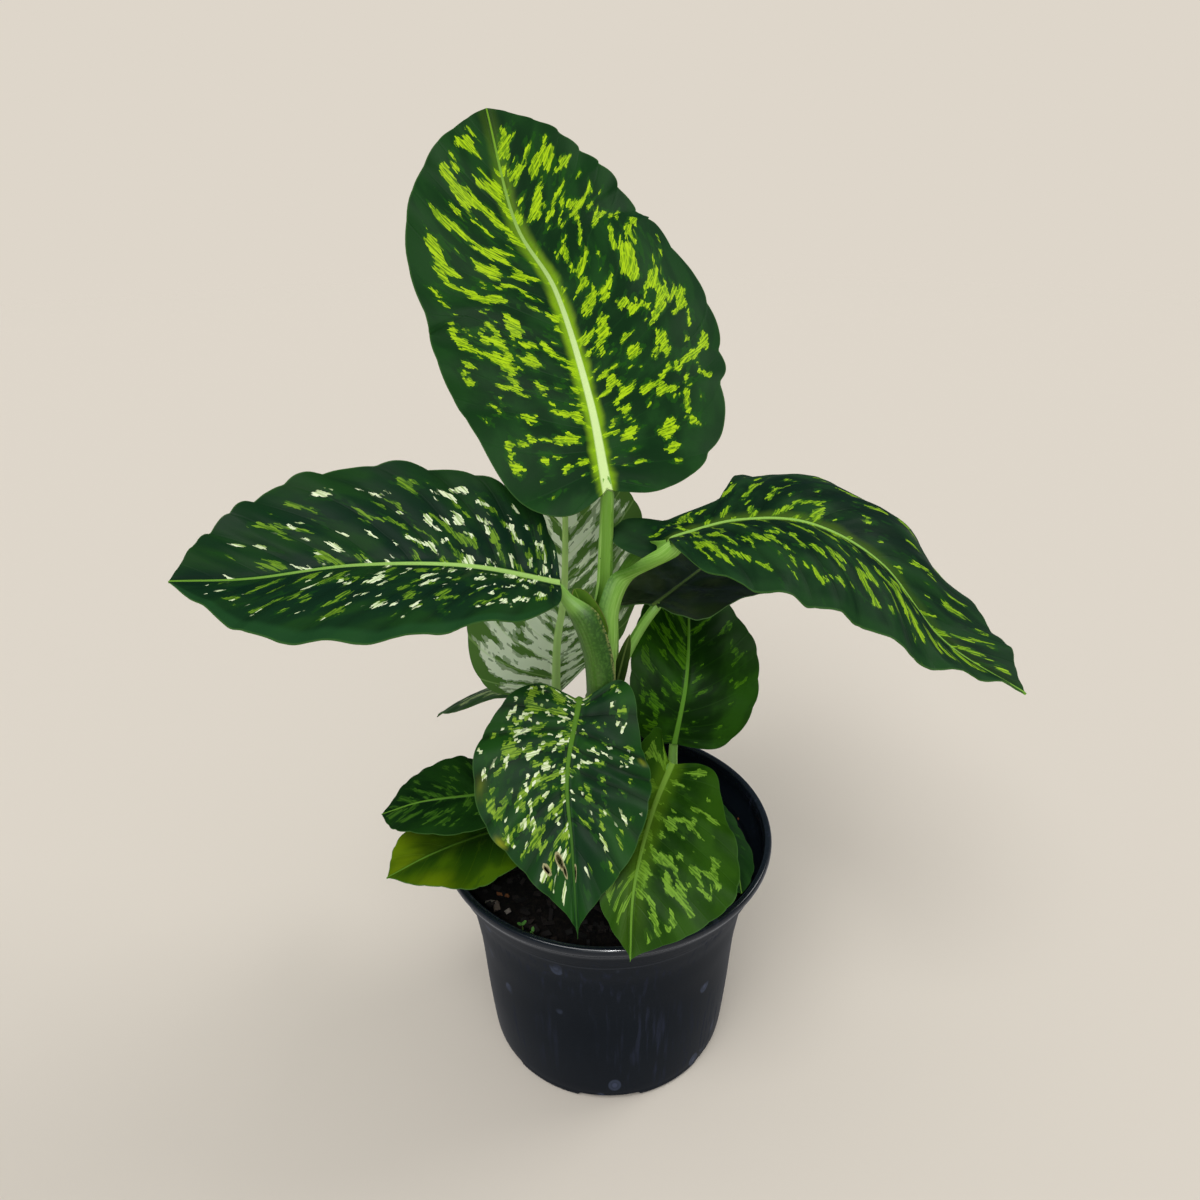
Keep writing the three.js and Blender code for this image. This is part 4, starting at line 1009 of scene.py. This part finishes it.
def makeStudio():
    bm = bmesh.new()
    bmesh.ops.create_circle(bm, cap_ends=True, radius=studio["floorRadius"], segments=64)
    floor = meshObject("floor", bm)
    material, tree, shader = newMaterial("floor_paint")
    # the floor is painted so that in this light it looks like the backdrop
    falling = [lamp["strength"] * math.sin(math.radians(lamp["elevation"])) / math.pi
               for lamp in lamps if lamp["matte"]]
    light = studio["ambient"] + sum(falling)
    put(tree, shader.inputs["Base Color"], [c / light for c in studio["background"][:3]] + [1.0])
    put(tree, shader.inputs["Roughness"], 0.9)
    put(tree, shader.inputs["Specular IOR Level"], 0.0)
    # mirrored in leaves and pot it is darker
    ray = add(tree, "LightPath").outputs["Is Glossy Ray"]
    dim = add(tree, "Emission", {"Color": studio["mirroredFloor"], "Strength": 1.0}).outputs[0]
    seen = add(tree, "MixShader", {0: ray, 1: shader.outputs[0], 2: dim}).outputs[0]
    # far away it gives way to the backdrop, so no horizon shows
    away = add(tree, "VectorMath", {0: objectPlace(tree)}, operation="LENGTH").outputs["Value"]
    clear = add(tree, "BsdfTransparent").outputs[0]
    seen = add(tree, "MixShader", {0: rise(tree, away, 1.5, 4.0), 1: seen, 2: clear}).outputs[0]
    tree.links.new(seen, tree.nodes["Material Output"].inputs[0])
    floor.data.materials.append(material)

    world = bpy.data.worlds.new("studio")
    bpy.context.scene.world = world
    world.use_nodes = True
    tree = world.node_tree
    tree.nodes.clear()
    ray = add(tree, "LightPath").outputs
    backdrop = add(tree, "Background", {"Color": studio["background"]}).outputs[0]
    ambient = add(tree, "Background", {"Color": (1.0, 1.0, 1.0, 1.0), "Strength": studio["ambient"]})
    mirrored = add(tree, "Background", {"Color": studio["mirrored"]}).outputs[0]
    around = add(tree, "MixShader", {0: ray["Is Glossy Ray"], 1: ambient.outputs[0], 2: mirrored}).outputs[0]
    sky = add(tree, "MixShader", {0: ray["Is Camera Ray"], 1: around, 2: backdrop}).outputs[0]
    output = tree.nodes.new("ShaderNodeOutputWorld")
    tree.links.new(sky, output.inputs[0])

    for lamp in lamps:
        sun = bpy.data.lights.new(lamp["name"], "SUN")
        sun.energy = lamp["strength"]
        sun.angle = math.radians(lamp["angle"])
        holder = newObject(lamp["name"], sun)
        holder.visible_diffuse = lamp["matte"]
        tilt = Matrix.Rotation(math.radians(90 - lamp["elevation"]), 4, "X")
        holder.matrix_world = Matrix.Rotation(math.radians(lamp["azimuth"]), 4, "Z") @ tilt


def makeCamera():
    data = bpy.data.cameras.new("camera")
    data.lens = view["lens"]
    data.sensor_width = view["sensor"]
    data.clip_start = 0.01
    data.clip_end = 100.0
    camera = newObject("camera", data)
    pitch = math.radians(view["pitch"])
    forward = Vector((0, math.cos(pitch), -math.sin(pitch)))
    level = Vector((1, 0, 0))
    straight = level.cross(forward)
    roll = Matrix.Rotation(math.radians(view["roll"]), 3, -forward)
    columns = Matrix((roll @ level, roll @ straight, -forward)).transposed()
    place = (Vector(view["aim"]) - forward * view["distance"]) * mm
    camera.matrix_world = Matrix.Translation(place) @ columns.to_4x4()
    bpy.context.scene.camera = camera


makeStudio()
makeCamera()
bpy.context.scene.view_settings.view_transform = "Standard"
print("stage made")
